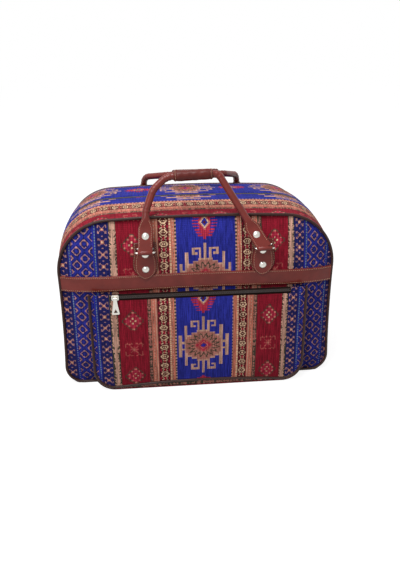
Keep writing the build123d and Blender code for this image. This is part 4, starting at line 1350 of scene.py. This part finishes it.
class BAG_OT_zips(bpy.types.Operator):
    """Coil of the main zip"""
    bl_idname = "bag.zips"
    bl_label = "Zips"

    def execute(self, context):
        tree = solid_tree("main_zip_coil")
        low = shoulder_angle()
        line, ways = [], []
        for angle in np.linspace(low + 0.01, math.pi - low - 0.01, 260):
            way = Vector((math.cos(angle), 0, math.sin(angle)))
            hit, normal = tree.ray_cast(Vector((0, 0, BAG_MIDDLE[1])) + 0.6 * way, -way)[:2]
            if hit is not None:
                line.append(tuple(hit - normal * 1.1 * MM))
                ways.append(tuple(normal))
        pitch = context.scene.bag_zip.turn_pitch
        sizes = {"Pitch": pitch, "Length": pitch * 2.2, "Width": 5.6 * MM, "Height": 2.4 * MM}
        made = grow_rows("nylon_coil_main", "turn", [(line, ways, False)], sizes, "coil", "bag")
        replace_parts(made, "main_zip_coil")
        return {"FINISHED"}


class BAG_OT_finishes(bpy.types.Operator):
    """Finishes of the pieces that keep their CAD shape"""
    bl_idname = "bag.finishes"
    bl_label = "Finishes"

    def execute(self, context):
        kept = {
            "piping": ["front_piping", "back_piping", "pocket_piping"],
            "tape": ["main_zip_tape_front", "main_zip_tape_rear", "pocket_zip_tape_upper",
                     "pocket_zip_tape_lower"],
            "coil": ["pocket_zip_teeth_upper", "pocket_zip_teeth_lower"],
            "nickel": ["main_zip_slider", "main_zip_puller", "pocket_zip_slider", "pocket_zip_puller",
                       "front_chape_rivets", "back_chape_rivets", "front_handle_rivets",
                       "back_handle_rivets", "front_ring_left", "front_ring_right", "back_ring_left",
                       "back_ring_right"],
            "lining": ["lining"],
            "board": ["base_board"],
            "cord": ["front_handle_cord", "back_handle_cord"],
        }
        for finish, nodes in kept.items():
            for node in nodes:
                dress(node, finish)
        return {"FINISHED"}


# Soft lamps: name, place, share of the key light's power, and width in metres
LAMPS = [("key_light", (-0.4, -0.6, 1.75), 1.0, 1.0), ("soft_box", (-0.8, -1.45, 1.1), 0.24, 0.45)]
FLOOR_HALF, FLOOR_HEIGHT = 6.0, -0.5 * MM
CAMERA_TARGET = (0.0138, 0, 0.135)
SENSOR_WIDTH = 36


class BAG_OT_stage(bpy.types.Operator):
    """Floor, light and camera"""
    bl_idname = "bag.stage"
    bl_label = "Stage"

    def execute(self, context):
        given = context.scene.bag_stage
        scene = context.scene
        mesh = bpy.data.meshes.new("pale_floor")
        mesh.from_pydata([(x * FLOOR_HALF, y * FLOOR_HALF, FLOOR_HEIGHT)
                          for x, y in ((-1, -1), (1, -1), (1, 1), (-1, 1))], [], [(0, 1, 2, 3)])
        floor = bpy.data.objects.new("pale_floor", mesh)
        scene.collection.objects.link(floor)
        paint, tree, shader = surface_material("matt_white_sweep")
        shader.inputs["Base Color"].default_value = rgba("#9A9A9A")
        shader.inputs["Roughness"].default_value = 0.95
        shader.inputs["Specular IOR Level"].default_value = 0.1
        glow = add(tree, "ShaderNodeEmission", {"Strength": 0.88})
        nothing = add(tree, "ShaderNodeEmission", {"Strength": 0.0})
        seen = add(tree, "ShaderNodeMixShader", {0: self.seen_ray(tree), 1: nothing.outputs[0],
                                                 2: glow.outputs[0]})
        both = add(tree, "ShaderNodeAddShader", {0: shader.outputs[0], 1: seen.outputs[0]})
        tree.links.new(both.outputs[0], tree.nodes["Material Output"].inputs["Surface"])
        mesh.materials.append(paint)
        world = bpy.data.worlds.new("white_studio")
        world.use_nodes = True
        scene.world = world
        tree = world.node_tree
        tree.nodes.clear()
        lit = add(tree, "ShaderNodeBackground", {"Color": rgba("#FFFFFF"), "Strength": given.sky})
        shown = add(tree, "ShaderNodeBackground", {"Color": rgba("#FFFFFF"), "Strength": 1.0})
        mixed = add(tree, "ShaderNodeMixShader", {0: self.seen_ray(tree), 1: lit.outputs[0],
                                                  2: shown.outputs[0]})
        add(tree, "ShaderNodeOutputWorld", {"Surface": mixed.outputs[0]})
        for name, spot, share, width in LAMPS:
            lamp = bpy.data.lights.new(name, "AREA")
            lamp.energy = given.key_power * share
            lamp.size = width
            light = bpy.data.objects.new(name, lamp)
            scene.collection.objects.link(light)
            light.location = spot
            light.rotation_euler = (Vector((0, 0, 0.15)) - Vector(spot)).to_track_quat("-Z", "Y").to_euler()
        self.camera(scene, given)
        scene.view_settings.view_transform = "Standard"
        return {"FINISHED"}

    @staticmethod
    def seen_ray(tree):
        """1 for rays from the camera, or by way of a mirror or glass."""
        path = add(tree, "ShaderNodeLightPath").outputs
        either = add(tree, "ShaderNodeMath", {0: path["Is Camera Ray"], 1: path["Is Glossy Ray"]},
                     operation="MAXIMUM").outputs["Value"]
        return add(tree, "ShaderNodeMath", {0: either, 1: path["Is Transmission Ray"]},
                   operation="MAXIMUM").outputs["Value"]

    @staticmethod
    def camera(scene, given):
        """The camera that matches the photo."""
        lens = bpy.data.cameras.new("camera")
        lens.sensor_fit = "HORIZONTAL"
        lens.sensor_width = SENSOR_WIDTH
        lens.lens = given.focal
        a, e, r = given.azimuth, given.elevation, given.roll
        ahead = Vector((-math.sin(a) * math.cos(e), math.cos(a) * math.cos(e), -math.sin(e)))
        level = Vector((math.cos(a), math.sin(a), 0))
        above = level.cross(ahead)
        right = level * math.cos(r) - above * math.sin(r)
        up = level * math.sin(r) + above * math.cos(r)
        spot = Vector(CAMERA_TARGET) - ahead * given.distance
        camera = bpy.data.objects.new("camera", lens)
        scene.collection.objects.link(camera)
        columns = Matrix((right, up, -ahead)).transposed().to_4x4()
        camera.matrix_world = Matrix.Translation(spot) @ columns
        scene.camera = camera


class BAG_PT_panel(bpy.types.Panel):
    """Lists the bag's operators"""
    bl_label = "Kilim travel bag"
    bl_idname = "BAG_PT_panel"
    bl_space_type = "VIEW_3D"
    bl_region_type = "UI"
    bl_category = "Bag"

    def draw(self, context):
        for operator in OPERATORS:
            self.layout.operator(operator.bl_idname)


OPERATORS = [BAG_OT_stage, BAG_OT_panels, BAG_OT_gusset, BAG_OT_pocket, BAG_OT_band, BAG_OT_chapes,
             BAG_OT_handles, BAG_OT_zips, BAG_OT_finishes]
GROUPS = {"bag_weave": WEAVE_PG_settings, "bag_leather": LEATHER_PG_settings, "bag_zip": ZIP_PG_settings,
          "bag_stage": STAGE_PG_settings}


def register():
    """Adds the settings, operators and panel to Blender."""
    for group in GROUPS.values():
        bpy.utils.register_class(group)
    for name, group in GROUPS.items():
        setattr(bpy.types.Scene, name, PointerProperty(type=group))
    for made in OPERATORS + [BAG_PT_panel]:
        bpy.utils.register_class(made)


def unregister():
    """Takes them out again."""
    for made in OPERATORS + [BAG_PT_panel]:
        bpy.utils.unregister_class(made)
    for name, group in GROUPS.items():
        delattr(bpy.types.Scene, name)
        bpy.utils.unregister_class(group)


def main():
    """Builds the whole bag."""
    register()
    measure()
    for operator in OPERATORS:
        name = operator.bl_idname.split(".")[1]
        getattr(bpy.ops.bag, name)()
    bpy.context.view_layer.update()


if __name__ == "__main__":
    main()
